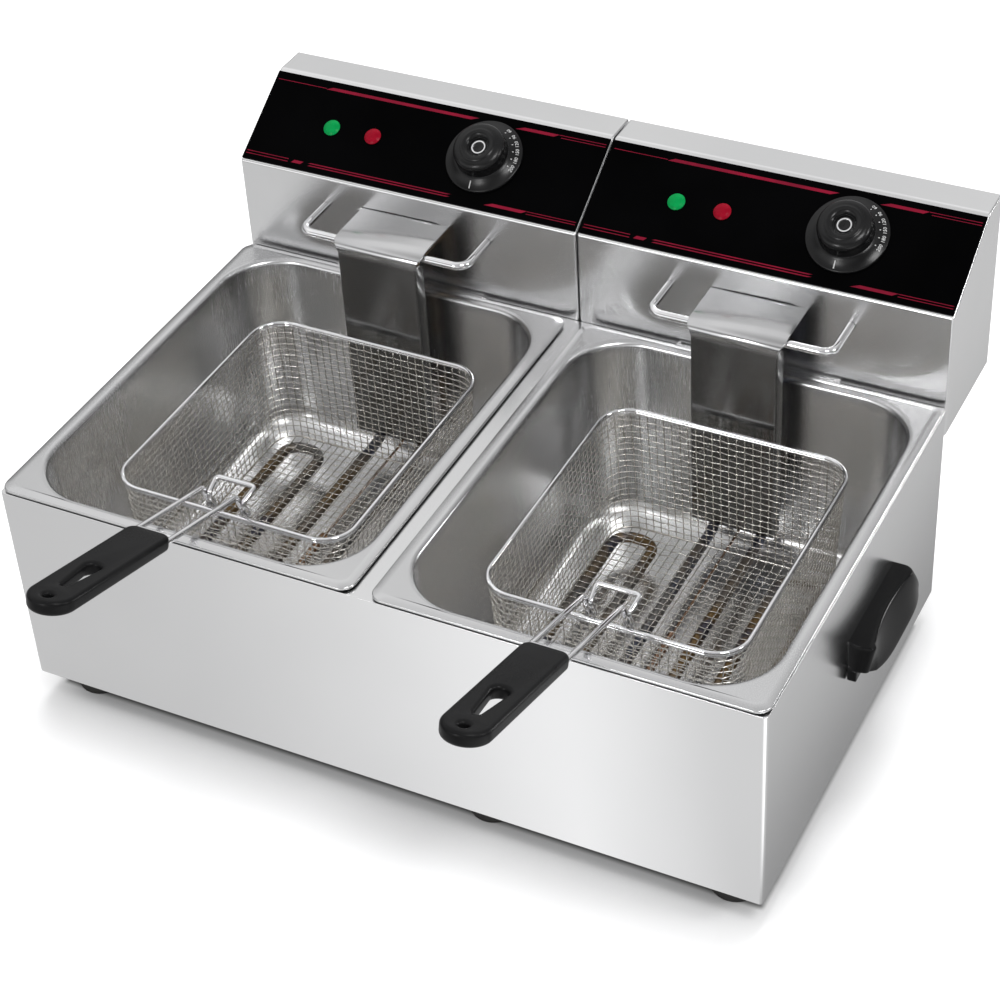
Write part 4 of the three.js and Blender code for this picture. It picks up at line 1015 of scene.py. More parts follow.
@dataclass
class SideHandle(Half):
    """A bakelite carrying handle, waisted along its top and bowed along its bottom."""

    waist: float = 11.0
    top_end: float = 18.0
    bow: float = 22.0
    low_end: float = 14.0
    slant: float = 8.0
    wall: float = 6.0
    edge: float = 1.1
    front_round: float = 4.0
    front_swell: float = 1.6
    back_round: float = 7.0
    lug: Triple = (6.6, 13.4, 9.0)
    lug_setback: float = 0.4
    lug_gap: float = 0.02
    lug_edge: float = 1.2
    steps: int = 30

    def reach(self, along: float, up: float) -> float:
        """How far the outer face stands from the wall.

        Args:
            along: -1 at the front end, 1 at the back end.
            up: 0 at the bottom, 1 at the top.

        Returns:
            The distance in millimetres.
        """
        low = self.bow + (self.low_end - self.bow) * along ** 4
        high = self.waist + (self.top_end - self.waist) * along ** 2
        return low + (high - low) * up

    def plan(self, length: float, up: float, inset: float) -> list[Pair]:
        """The handle's outline at one height, from the wall round the outer face and back.

        Args:
            length: the handle's length.
            up: 0 at the bottom, 1 at the top.
            inset: how far the outline is drawn in.

        Returns:
            Points as distance from the wall and place along it, in millimetres.
        """
        half = length / 2
        front, back = inset - half, half - self.slant * up - inset
        near, swell = self.front_round, self.front_swell
        far = self.back_round * (0.45 + 0.55 * up)
        start = self.reach(-1.0, up) - inset
        points = [(-inset * 3, front + swell), (0.0, front + swell)]
        for share in shares(8, 1)[:-1]:
            x = (start - near) * share
            points.append((x, front + swell * (2 * x / (start - near * 0.5) - 1) ** 2))
        for cos, sin in arc(6):
            points.append((
                start - near * (1 - sin),
                front + swell * (0.55 + (1 - cos) * 0.4) + (near - swell) * (1 - cos),
            ))
        first, last = front + near, back - far
        for share in shares(self.steps, 1)[:-1]:
            y = first + (last - first) * share
            points.append((self.reach(max(min(y / half, 1.0), -1.0), up) - inset, y))
        end = self.reach(last / half, up) - inset
        points += [(end - far * (1 - cos), last + far * sin) for cos, sin in arc(8)]
        points += [(0.0, back), (-inset * 3, back)]
        return points

    def block(self, length: float, height: float, inset: float) -> bpy.types.Object:
        """The handle's block, or its finger recess.

        Args:
            length: the handle's full length in millimetres.
            height: its height in millimetres.
            inset: 0 for the block, or the thickness left round the recess.

        Returns:
            The object, with its middle and underside at the origin.
        """
        if inset:
            levels = [(-inset, inset), (height * 0.5, inset), (height - inset, inset)]
        else:
            rounding = [(self.edge * (1 - sin), self.edge * (1 - cos)) for cos, sin in arc(4)]
            levels = rounding[::-1]
            levels += [(height * share, 0.0) for share in shares(6, 1)[:-1]]
            levels += [(height - below, drawn) for below, drawn in rounding]
        rows = []
        for z, drawn in levels:
            up = min(max(z / height, 0.0), 1.0)
            rows.append([Vector((x, y, z)) * MM for x, y in self.plan(length, up, drawn)])
        shape = Shape()
        shape.loft(rows, capped=True)
        bmesh.ops.remove_doubles(shape.mesh, verts=shape.mesh.verts, dist=WELD)
        bmesh.ops.recalc_face_normals(shape.mesh, faces=shape.mesh.faces)
        data = bpy.data.meshes.new("handle_block")
        shape.mesh.to_mesh(data)
        shape.mesh.free()
        return in_scene("handle_block", data)

    def build(self) -> None:
        """Builds the handle in place of its CAD node."""
        node = self.named("side_handle")
        low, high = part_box(node)
        sign = self.side.value
        length = (high.y - low.y) / MM
        bottom = low.z + self.lug[2] * MM
        height = (high.z - bottom) / MM
        solid = self.block(length, height, 0.0)
        recess = self.block(length, height, self.wall)
        carve = solid.modifiers.new("recess", "BOOLEAN")
        carve.operation, carve.object, carve.solver = "DIFFERENCE", recess, "EXACT"
        shape = Shape()
        shape.mesh.from_mesh(evaluated(solid))
        for made in (solid, recess):
            bpy.data.objects.remove(made)
        thick, deep, drop = (v * MM for v in self.lug)
        reach = (length / 2 - self.lug_setback) * MM - deep / 2
        for middle in (-reach, reach):
            shape.block(
                (self.lug_gap * MM, middle - deep / 2, -drop),
                (thick, middle + deep / 2, self.wall * 0.5 * MM), self.lug_edge * MM,
            )
        place = Matrix.Translation((low.x if sign > 0 else high.x, (low.y + high.y) / 2, bottom))
        place = place @ Matrix.Diagonal((sign, 1, 1, 1))
        bmesh.ops.transform(shape.mesh, matrix=place, verts=shape.mesh.verts)
        shape.finished(
            self.named("carrying_handle"), BAKELITE, "housing", [node],
        )


# ---- Oil tank ----


@dataclass
class OilTank(Half):
    """A deep-drawn pan with a sloping border and a rolled mouth."""

    rides: ClassVar[str] = "tank"
    inside: Pair = (244.0, 302.0)
    corner: float = 44.0
    flange_corner: float = 10.0
    border: float = 6.0
    lip_bottom: float = -2.7
    edge_inset: float = 0.9
    shoulder: float = 1.3
    roll: float = 4.5
    roll_gap: float = 0.2
    lip_edge: float = 0.5
    shoulder_turn: float = 66.0
    fold: float = 1.2
    wall_rows: Triple = (-20.0, -60.0, -100.0)
    floor_radius: float = 16.0
    floor_border: float = 40.0
    floor_corner: float = 12.0
    wall: float = 0.9
    steps: int = 14

    def edge_section(self) -> list[Pair]:
        """The border's section: a lip, a round shoulder, a slope and a soft fold.

        Returns:
            Points as distance inside the outer edge and height above the flange.
        """
        start, lip, border = self.edge_inset, self.lip_bottom + self.lip_edge, self.border
        points = [(start, self.lip_bottom), (start, lip)]
        points += [
            (start + self.shoulder * (1 - cos), lip + self.shoulder * sin)
            for cos, sin in arc(7, self.shoulder_turn, 1)
        ]
        inset, z = points[-1]
        fold = self.fold
        low = Vector((border - fold, z * fold / (border - inset)))
        corner, end = Vector((border, 0.0)), Vector((border + fold, 0.0))
        for t in shares(5):
            place = low * (1 - t) ** 2 + corner * 2 * t * (1 - t) + end * t * t
            points.append((place.x, place.y))
        return points

    def rows(self, half: Vector, depth: float) -> list[tuple[float, float, float, float]]:
        """The pan's section as rounded rectangles.

        Args:
            half: half the flange's width and depth, in millimetres.
            depth: the pan's depth, in millimetres.

        Returns:
            For each row its half width, half depth, corner radius and height.
        """
        wide, deep = self.inside[0] / 2, self.inside[1] / 2
        rows = [
            (half.x - inset, half.y - inset, self.flange_corner - 0.5 * inset, z)
            for inset, z in self.edge_section()
        ]
        corner, grown = self.corner, self.roll + self.roll_gap
        rows.append((wide + grown, deep + grown, corner + grown, 0.0))
        for cos, sin in arc(8):
            out = self.roll * (1 - sin)
            rows.append((wide + out, deep + out, corner + out, self.roll * (cos - 1)))
        bottom, radius = self.wall - depth, self.floor_radius
        rows += [(wide, deep, corner, z) for z in self.wall_rows]
        for cos, sin in arc(8):
            inset = radius * (1 - cos)
            rows.append((wide - inset, deep - inset, corner - inset, bottom + radius * (1 - sin)))
        inset = radius + self.floor_border
        rows.append((wide - inset, deep - inset, self.floor_corner, bottom))
        return rows

    def build(self) -> None:
        """Builds the tank in place of its CAD node."""
        node = self.named("oil_tank")
        low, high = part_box(node)
        half = (high - low) / 2 / MM
        middle = (low + high) / 2
        place = Matrix.Translation((middle.x, middle.y, high.z)) @ TO_METRES
        rows = []
        for width, depth, radius, z in self.rows(half, (high.z - low.z) / MM):
            points = rounded_loop(width, depth, radius, self.steps)
            rows.append([place @ (p + Vector((0, 0, z))) for p in points])
        shape = Shape()
        shape.mesh.faces.new(shape.loft(rows)[-1])
        piece = shape.finished(
            self.named("drawn_tank"), PAINTED_SHADING_TANK_STEEL, self.body, [node],
            crease=60.0,
        )
        sheet = piece.modifiers.new("sheet", "SOLIDIFY")
        sheet.thickness = self.wall * MM
        sheet.offset = -1.0
        sheet.use_even_offset = True
        if sum(f.normal.z for f in piece.data.polygons if f.center.z < low.z + 3 * MM) < 0:
            piece.data.flip_normals()


# ---- Control head ----


@dataclass
class ControlHead(Half):
    """One control head: case, cover, rods, element and everything that rides with them."""

    fold: float = 1.6
    rim: float = 0.3
    shortest: float = 18.0
    lip: float = 2.0
    back_lip: float = 1.5
    rod_radius: float = 3.0
    rod_bend: float = 9.0

    def front(self) -> Vector:
        """The middle of the head's front face, at the height of the deck."""
        low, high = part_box(self.named("head_case"))
        return Vector(((low.x + high.x) / 2, low.y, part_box("housing_shell")[1].z))

    def case(self) -> None:
        """The folded case."""
        node = self.named("head_case")
        low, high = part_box(node)
        near = 2 * NEAR * MM

        def width(middle: Vector, direction: Vector, length: float) -> float:
            """The rounding of one edge of the case.

            Args:
                middle: the edge's middle.
                direction: its direction.
                length: its length.

            Returns:
                The width, or 0 for an edge that stays sharp.
            """
            if length < self.shortest * MM:
                return 0.0
            if middle.z < low.z + self.lip * MM or middle.y > high.y - self.back_lip * MM:
                return self.rim * MM
            on_side = min(middle.x - low.x, high.x - middle.x) < near
            on_ridge = middle.y < low.y + near or middle.z > high.z - near
            if on_side or abs(direction.x) > 0.9 and on_ridge:
                return self.fold * MM
            return 0.0

        eased_node(
            node, self.named("steel_head"), HEAD_STEEL, self.body, width, 4,
        )

    def folded_parts(self) -> None:
        """The back cover and the hook, with eased edges."""
        for node, name in (("head_back_cover", "back_cover"), ("head_hook", "hanging_hook")):
            eased_node(
                self.named(node), self.named(name), HEAD_STEEL, self.body,
                long_edges(self.rim, 8.0),
            )

    def rod(self) -> None:
        """The chrome rod that a draining basket hangs from."""
        node = self.named("hanger_rod")
        low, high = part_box(node)
        radius = self.rod_radius * MM
        z = (low.z + high.z) / 2
        left, right, front = low.x + radius, high.x - radius, low.y + radius
        corners = ((left, high.y), (left, front), (right, front), (right, high.y))
        path = bent_path([(x, y, z) for x, y in corners], self.rod_bend * MM, 14)
        shape = Shape()
        shape.tube(path, radius, 24)
        shape.finished(self.named("chrome_rod"), CHROME, self.body, [node])

    def build(self) -> None:
        """Builds the head's pieces."""
        self.case()
        self.folded_parts()
        self.rod()
        for part in (ElementCover, HeatingElement, ControlPanel):
            part(self.side, self.front()).build()
        BackFittings(self.side).build()


@dataclass
class ElementCover(Half):
    """The bent plate over the element's legs, which ends as a channel in the tank."""

    front: Vector
    width: float = 70.5
    neck: float = 63.0
    taper: Pair = (1.8, 6.8)
    bend_run: float = 16.0
    bend_drop: float = 6.6
    sheet: float = 1.2
    flange: float = 12.0
    flange_gap: float = 11.3
    corner: float = 2.0
    edge: float = 0.25
    row_step: float = 4.0
    steps: int = 16

    def spine(self, reach: float, top: float, bottom: float, tail: float) -> list[Pair]:
        """The outer face's section, from inside the head to the lower end.

        Args:
            reach: how far forward the upright plate stands.
            top: the top plate's height above the deck.
            bottom: the lower end's height.
            tail: plate left inside the head.

        Returns:
            Points as distance behind the head's front and height, in millimetres.
        """
        level = self.bend_run - reach
        points = [(tail, top), (0.0, top), (level * 0.5, top)]
        for t in shares(self.steps):
            y = (1 - t) ** 2 * level + 2 * t * (1 - t) * (self.sheet - reach) - t * t * reach
            points.append((y, top - t * t * self.bend_drop))
        z = top - self.bend_drop
        while z - self.row_step > bottom:
            z -= self.row_step
            points.append((-reach, z))
        return [*points, (-reach, bottom)]

    def build(self) -> None:
        """Builds the cover in place of its CAD node."""
        node = self.named("element_cover")
        low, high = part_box(node)
        near = (low - self.front) / MM
        far = (high - self.front) / MM
        place = Matrix.Translation(self.front) @ TO_METRES
        rows = []
        for y, z in self.spine(-near.y, far.z, near.z, far.y):
            drop = far.z - z
            share = min(max((drop - self.taper[0]) / (self.taper[1] - self.taper[0]), 0.0), 1.0)
            half = (self.width + (self.neck - self.width) * share) / 2
            depth = self.flange * min(max((drop - self.flange_gap + 4) / 5, 0.0), 1.0)
            bend = min(self.corner, depth)
            leg = [(half, y + max(depth, 0.02)), (half, y + max(depth * 0.5, 0.02))]
            leg += [(half - bend * (1 - cos), y + bend * (1 - sin)) for cos, sin in arc(4)]
            if not depth:
                leg = [(x, y) for x, _ in leg]
            line = [(-x, back) for x, back in leg] + leg[::-1]
            rows.append([place @ Vector((x, back, z)) for x, back in line])
        shape = Shape()
        shape.loft(rows, closed=False)
        bmesh.ops.remove_doubles(shape.mesh, verts=shape.mesh.verts, dist=3 * WELD)
        piece = shape.finished(
            self.named("bent_cover"), PAINTED_SHADE_COVER_STEEL, self.body, [node],
            crease=50.0,
        )
        if sum(f.normal.z for f in piece.data.polygons if f.center.z > high.z - 0.5 * MM) < 0:
            piece.data.flip_normals()
        skin = piece.modifiers.new("sheet", "SOLIDIFY")
        skin.thickness = self.sheet * MM
        skin.offset = -1.0
        edge = piece.modifiers.new("edge", "BEVEL")
        edge.width = self.edge * MM
        edge.segments = 2
        edge.limit_method = "ANGLE"
        edge.angle_limit = math.radians(50)


@dataclass
class HeatingElement(Half):
    """The bent tube under the basket, with the thermostat's bulb between its runs."""

    front: Vector
    radius: float = 4.0
    leg_offset: float = 18.0
    leg_height: float = 36.0
    leg_reach: float = 30.0
    pitch: float = 30.0
    bend: float = 12.0
    bulb_radius: float = 3.0
    bulb_length: float = 80.0
    bulb_setback: float = 23.5
    capillary: float = 1.0
    capillary_rise: float = 22.0
    capillary_bend: float = 6.0
    rear_setback: float = 14.0

    def build(self) -> None:
        """Builds the element and the bulb in place of their CAD nodes."""
        node = self.named("heating_element")
        low, high = ((corner - self.front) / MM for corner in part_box(node))
        at = Matrix.Translation(self.front) @ TO_METRES
        z, ahead = low.z + self.radius, low.y + self.radius
        turn = ahead + self.pitch
        rear = (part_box(self.named("basket_rim"))[1].y - self.front.y) / MM - self.rear_setback
        near, middle, far = (self.leg_offset + i * self.pitch for i in range(3))
        half = [
            (-near, high.y, self.leg_height), (-near, -self.leg_reach, self.leg_height),
            (-near, -self.leg_reach, z), (-near, turn, z), (-middle, turn, z),
            (-middle, rear, z), (-far, rear, z), (-far, ahead, z),
        ]
        path = bent_path(half + [(-x, y, h) for x, y, h in reversed(half)], self.bend, 10)
        shape = Shape()
        shape.tube([at @ p for p in path], self.radius * MM, 20)
        shape.finished(
            self.named("element_tube"), SHEATH, self.body, [node],
        )
        self.bulb(at, z, ahead)

    def bulb(self, at: Matrix, z: float, ahead: float) -> None:
        """The thermostat's bulb and its capillary.

        Args:
            at: the head's place, in millimetres.
            z: the height of the element's runs.
            ahead: the front run's distance from the head's front face.
        """
        start, length = ahead + self.bulb_setback, self.bulb_length
        target = (centre_of(self.named("thermostat_body")) - self.front) / MM
        line = [
            (0, start + length - 4, z), (0, -self.leg_reach, z),
            (0, -self.leg_reach, self.leg_height), (0, self.capillary_rise, self.leg_height),
            (target.x, target.y + 6, target.z - 24), (target.x, target.y + 2, target.z - 12),
        ]
        shape = Shape()
        path = bent_path(line, self.capillary_bend)
        shape.tube([at @ p for p in path], self.capillary * MM, 10)
        radius = self.bulb_radius
        profile = [
            (0.0, 0.0), (radius * 0.6, 0.0), (radius * 0.9, 0.8), (radius, 2.2),
            (radius, length - 5), (radius * 0.8, length - 3), (self.capillary * 1.4, length - 1),
            (0.0, length),
        ]
        shape.turned(profile, 28, at @ Matrix.Translation((0, start, z)) @ BACKWARD)
        shape.finished(
            self.named("sensor_bulb"), COPPER, self.body,
            [self.named("thermostat_bulb")],
        )


# ---- Control panel ----


@dataclass(frozen=True)
class Bar:
    """A printed bar on the panel, tapered at its ends if wanted.

    Its places are millimetres right of the panel's middle and up the slope from its lower fold.
    """

    start: float
    end: float
    height: float
    thick: float
    taper_start: float = 0.0
    taper_end: float = 0.0


@dataclass
class ControlPanel(Half):
    """The black film on the slope, with its printed bars, lamps and knob."""

    front: Vector
    rise: float = 72.4
    run: float = 67.6
    climb: float = 41.8
    seat: float = 0.3
    film: float = 0.8
    bare_top: float = 1.3
    upper_half: float = 40.0
    ink: float = 0.06
    edge: float = 0.25
    bars: tuple[Bar, ...] = (
        Bar(-133.0, -92.0, 69.6, 0.45),
        Bar(-92.0, 33.4, 70.0, 2.3, 5.0, 6.0),
        Bar(62.9, 97.2, 70.0, 2.3, 7.0, 4.0),
        Bar(97.2, 133.5, 70.9, 0.45),
        Bar(99.0, 133.5, 68.9, 0.45),
        Bar(-133.5, -98.3, 8.6, 0.5),
        Bar(-133.5, -98.3, 6.4, 0.5),
        Bar(-95.4, -85.7, 7.5, 2.3, 2.0, 2.0),
        Bar(-81.7, 35.0, 8.5, 0.8, 2.0, 3.0),
        Bar(-81.7, 35.0, 6.6, 0.8, 2.0, 3.0),
        Bar(62.3, 95.4, 7.5, 2.3, 6.0, 4.0),
        Bar(95.4, 133.5, 8.4, 0.45),
        Bar(95.4, 133.5, 6.5, 0.45),
    )
    lamp_radius: float = 6.3
    lamp_rise: float = 2.4
    lamp_stem: float = 4.6
    lamp_depth: float = 20.0
    lamp_bezel: float = 0.95
    lamp_edge: float = 0.9

    def slope(self) -> Matrix:
        """The panel's own axes: X along it, Y up the slope, Z out of it, in metres."""
        turn = Matrix.Rotation(math.atan2(self.climb, self.run), 4, "X")
        return Matrix.Translation(self.front + Vector((0, 0, self.rise * MM))) @ turn

    def face(self) -> float:
        """The film's outer face above the slope, in millimetres."""
        return self.seat + self.film

    def plate(self) -> None:
        """The film."""
        slope = self.slope()
        inverse = slope.inverted()
        shape = Shape()
        shape.copy_of(self.named("control_panel"))
        for vertex in shape.mesh.verts:
            place = inverse @ vertex.co
            if place.y > self.upper_half * MM:
                vertex.co = slope @ (place - Vector((0, self.bare_top * MM, 0)))
        shape.round_edges(long_edges(self.edge, 30.0), 2)
        shape.finished(
            self.named("panel_film"), PANEL_FILM, self.body,
            [self.named("control_panel")], level=True,
        )

    def print_bars(self) -> None:
        """The printed bars, as thin raised ink."""
        shape = Shape()
        at = self.slope() @ TO_METRES
        heights = (self.face() - 0.02, self.face() + self.ink)
        for bar in self.bars:
            bottom, top = bar.height - bar.thick / 2, bar.height + bar.thick / 2
            corners = [
                (bar.start, bottom), (bar.end - bar.taper_end, bottom), (bar.end, top),
                (bar.start + bar.taper_start, top),
            ]
            rows = [[at @ Vector((x, y, z)) for x, y in corners] for z in heights]
            shape.loft(rows, capped=True)
        shape.finished(
            self.named("panel_print"), PRINT_RED, self.body,
            crease=20.0,
        )

    def lamps(self) -> None:
        """The two indicator lenses: a thin bezel and a domed top."""
        for node, finish, slot in (
            ("power_lamp", GREEN_LENS, "green_lens"), ("heat_lamp", RED_LENS, "red_lens"),
        ):
            name = self.named(node)
            slope = self.slope()
            middle = slope.inverted() @ centre_of(name)
            place = slope @ Matrix.Translation((middle.x, middle.y, (self.face() + 0.3) * MM))
            radius, stem, bezel = self.lamp_radius, self.lamp_stem, self.lamp_bezel
            profile = [
                (0.0, -self.lamp_depth), (stem, -self.lamp_depth), (stem, 0.0),
                (radius - 0.2, 0.0), (radius, 0.2), (radius, bezel - 0.25), (radius - 0.25, bezel),
            ]
            profile += [
                ((radius - self.lamp_edge) * cos, bezel + (self.lamp_rise - bezel) * sin)
                for cos, sin in arc(9, first=1)[:-1]
            ]
            shape = Shape()
            shape.turned([*profile, (0.0, self.lamp_rise)], 48, place @ TO_METRES)
            shape.finished(
                self.named(f"{node}_lens"), finish, self.body, [name], place=place,
            )

    def build(self) -> None:
        """Builds the panel's pieces."""
        self.plate()
        self.print_bars()
        self.lamps()
        Knob(self.side, self.slope(), self.face()).build()


@dataclass
class Knob(Half):
    """The thermostat's knob: a conical skirt with numbers, a dished crown and a bright cap."""

    rides: ClassVar[str] = "knob"
    slope: Matrix
    face: float
    radius: float = 28.7
    skirt_edge: float = 2.0
    skirt_rise: float = 6.0
    crown: float = 19.4
    height: float = 19.2
    crown_edge: float = 4.4
    crown_lean: float = 0.4
    dish: float = 11.0
    dish_depth: float = 5.0
    cap: float = 5.4
    spindle_radius: float = 3.0
    spindle_ease: float = 0.4
    numbers: tuple[str, ...] = ("60", "90", "120", "150", "180", "200")
    first_number: float = 62.0
    number_step: float = -15.0
    number_height: float = 3.6
    number_radius: float = 25.4
    tick_radius: float = 21.8
    off_mark: float = -92.0
    off_radius: float = 24.4

    def place(self) -> Matrix:
        """The knob's own axes, with its seat at height 0."""
        middle = self.slope.inverted() @ centre_of(self.named("control_knob"))
        return self.slope @ Matrix.Translation((middle.x, middle.y, (self.face + 0.2) * MM))

    def profile(self) -> list[Pair]:
        """The knob's section, from the spindle's socket over the skirt to the cap's seat.

        Returns:
            Points as radius and height, in millimetres.
        """
        crown, top, edge, lean = self.crown, self.height, self.crown_edge, self.crown_lean
        radius, skirt, rise = self.radius, self.skirt_edge, self.skirt_rise
        points = [
            (0.0, 13.0), (3.3, 13.0), (3.3, 0.0), (radius - 0.4, 0.0), (radius, 0.4),
            (radius, skirt - 0.5), (radius - 0.4, skirt),
        ]
        outer, inner = radius - 0.9, crown + 0.9
        for t in shares(6):
            sag = -0.35 * math.sin(math.pi * t)
            points.append((outer + (inner - outer) * t, skirt + 0.15 + (rise - skirt) * t + sag))
        points += [(crown + 0.25, rise + 0.35), (crown, rise + 1.0)]
        foot, shoulder = rise + 1.0, top - edge - 0.6
        points += [
            (crown - lean * t ** 1.3, foot + (shoulder - foot) * t) for t in shares(6, 1)
        ]
        points += [
            (crown - lean - 1.65 * edge * (1 - cos), shoulder + edge * sin)
            for cos, sin in arc(8, 80.0, 1)
        ]
        dish, start = self.dish, points[-1][0]
        for t in shares(4, 1):
            height = top - 0.6 + 0.6 * math.sin(math.pi / 2 * t)
            points.append((start + (dish + 0.6 - start) * t, height))
        points.append((dish, top - 0.1))
        points += [
            (dish - (dish - self.cap - 1.2) * sin, top - 0.1 - (self.dish_depth - 0.1) * (1 - cos))
            for cos, sin in arc(8, first=1)
        ]
        seat, floor = self.cap + 0.3, top - self.dish_depth
        return [*points, (seat, floor), (seat, floor - 1.0), (0.0, floor - 1.0)]

    def print_on(self) -> None:
        """The numbers, their ticks and the mark at the foot of the skirt."""
        slope = math.atan2(self.skirt_rise - self.skirt_edge, self.radius - self.crown - 1.0)
        place = self.place()
        shape = Shape()

        def spot(angle: float, radius: float) -> Matrix:
            """Axes on the skirt: X round it, Y towards the crown, Z out of it.

            Args:
                angle: degrees round the knob.
                radius: millimetres from its axis.

            Returns:
                The axes, in metres.
            """
            share = (self.radius - radius) / (self.radius - self.crown - 1.0)
            height = self.skirt_edge + (self.skirt_rise - self.skirt_edge) * share - 0.28
            return (
                place @ Matrix.Rotation(math.radians(angle), 4, "Z")
                @ Matrix.Translation((radius * MM, 0, height * MM))
                @ Matrix.Rotation(slope, 4, "Y")
                @ Matrix.Rotation(math.radians(90), 4, "Z")
            )

        for index, word in enumerate(self.numbers):
            angle = self.first_number + index * self.number_step
            letters = bpy.data.curves.new("dial_number", "FONT")
            letters.body = word
            letters.size = self.number_height * MM
            letters.align_x = letters.align_y = "CENTER"
            letters.extrude = 0.05 * MM
            letters.resolution_u = 2
            maker = in_scene("dial_number", letters)
            flat = evaluated(maker)
            flat.transform(spot(angle, self.number_radius))
            shape.mesh.from_mesh(flat)
            bpy.data.objects.remove(maker)
            bpy.data.meshes.remove(flat)
            self.tick(shape, spot(angle, self.tick_radius), 0.3, 1.1)
        self.tick(shape, spot(self.off_mark, self.off_radius), 0.4, 2.8)
        shape.finished(
            self.named("dial_print"), PRINT_WHITE, self.body, crease=20.0,
        )

    def tick(self, shape: Shape, at: Matrix, half_width: float, half_length: float) -> None:
        """One printed stroke.

        Args:
            shape: the mesh that it joins.
            at: its axes.
            half_width: half its width in millimetres.
            half_length: half its length in millimetres.
        """
        shape.block(
            (-half_width * MM, -half_length * MM, -0.1 * MM),
            (half_width * MM, half_length * MM, 0.07 * MM), 0.0, at,
        )

    def build(self) -> None:
        """Builds the knob, its cap, its print and the spindle."""
        place = self.place()
        shape = Shape()
        shape.turned(self.profile(), 128, place @ TO_METRES)
        shape.finished(
            self.named("dial_knob"), KNOB_BLACK, self.body,
            [self.named("control_knob")], crease=40.0,
        )
        self.cap_ring(place)
        self.print_on()
        self.spindle(place)

    def cap_ring(self, place: Matrix) -> None:
        """The cap: a bright ring round a dark recessed disc.

        Args:
            place: the knob's own axes.
        """
        low = self.height - self.dish_depth - 0.7
        cap = self.cap
        ring = [
            (cap - 1.5, low), (cap - 0.1, low), (cap, low + 0.1), (cap, low + 1.6),
            (cap - 0.25, low + 1.9), (cap - 0.7, low + 2.0), (cap - 1.15, low + 1.9),
            (cap - 1.4, low + 1.6), (cap - 1.5, low + 1.2), (cap - 1.5, low),
        ]
        shape = Shape()
        shape.turned(ring, 64, place @ TO_METRES)
        shape.finished(
            self.named("cap_ring"), CHROME, self.body, [self.named("knob_cap")],
        )
        disc = [
            (0.0, low), (cap - 1.52, low), (cap - 1.52, low + 1.0), (2.2, low + 1.05),
            (1.8, low + 0.85), (0.0, low + 0.8),
        ]
        shape = Shape()
        shape.turned(disc, 48, place @ TO_METRES)
        shape.finished(self.named("cap_disc"), KNOB_BLACK, self.body)

    def spindle(self, place: Matrix) -> None:
        """The spindle, with eased ends.

        Args:
            place: the knob's own axes.
        """
        node = self.named("thermostat_spindle")
        inverse = place.inverted()
        heights = [(inverse @ v.co).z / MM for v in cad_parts[node].data.vertices]
        bottom, top = min(heights), max(heights)
        radius, ease = self.spindle_radius, self.spindle_ease
        profile = [
            (0.0, bottom), (radius - ease, bottom), (radius, bottom + ease), (radius, top - ease),
            (radius - ease, top), (0.0, top),
        ]
        shape = Shape()
        shape.turned(profile, 32, place @ TO_METRES)
        shape.finished(
            self.named("turned_spindle"), TURNED_STEEL, self.body, [node],
            place=place,
        )


# ---- Fittings inside the head and on its back ----


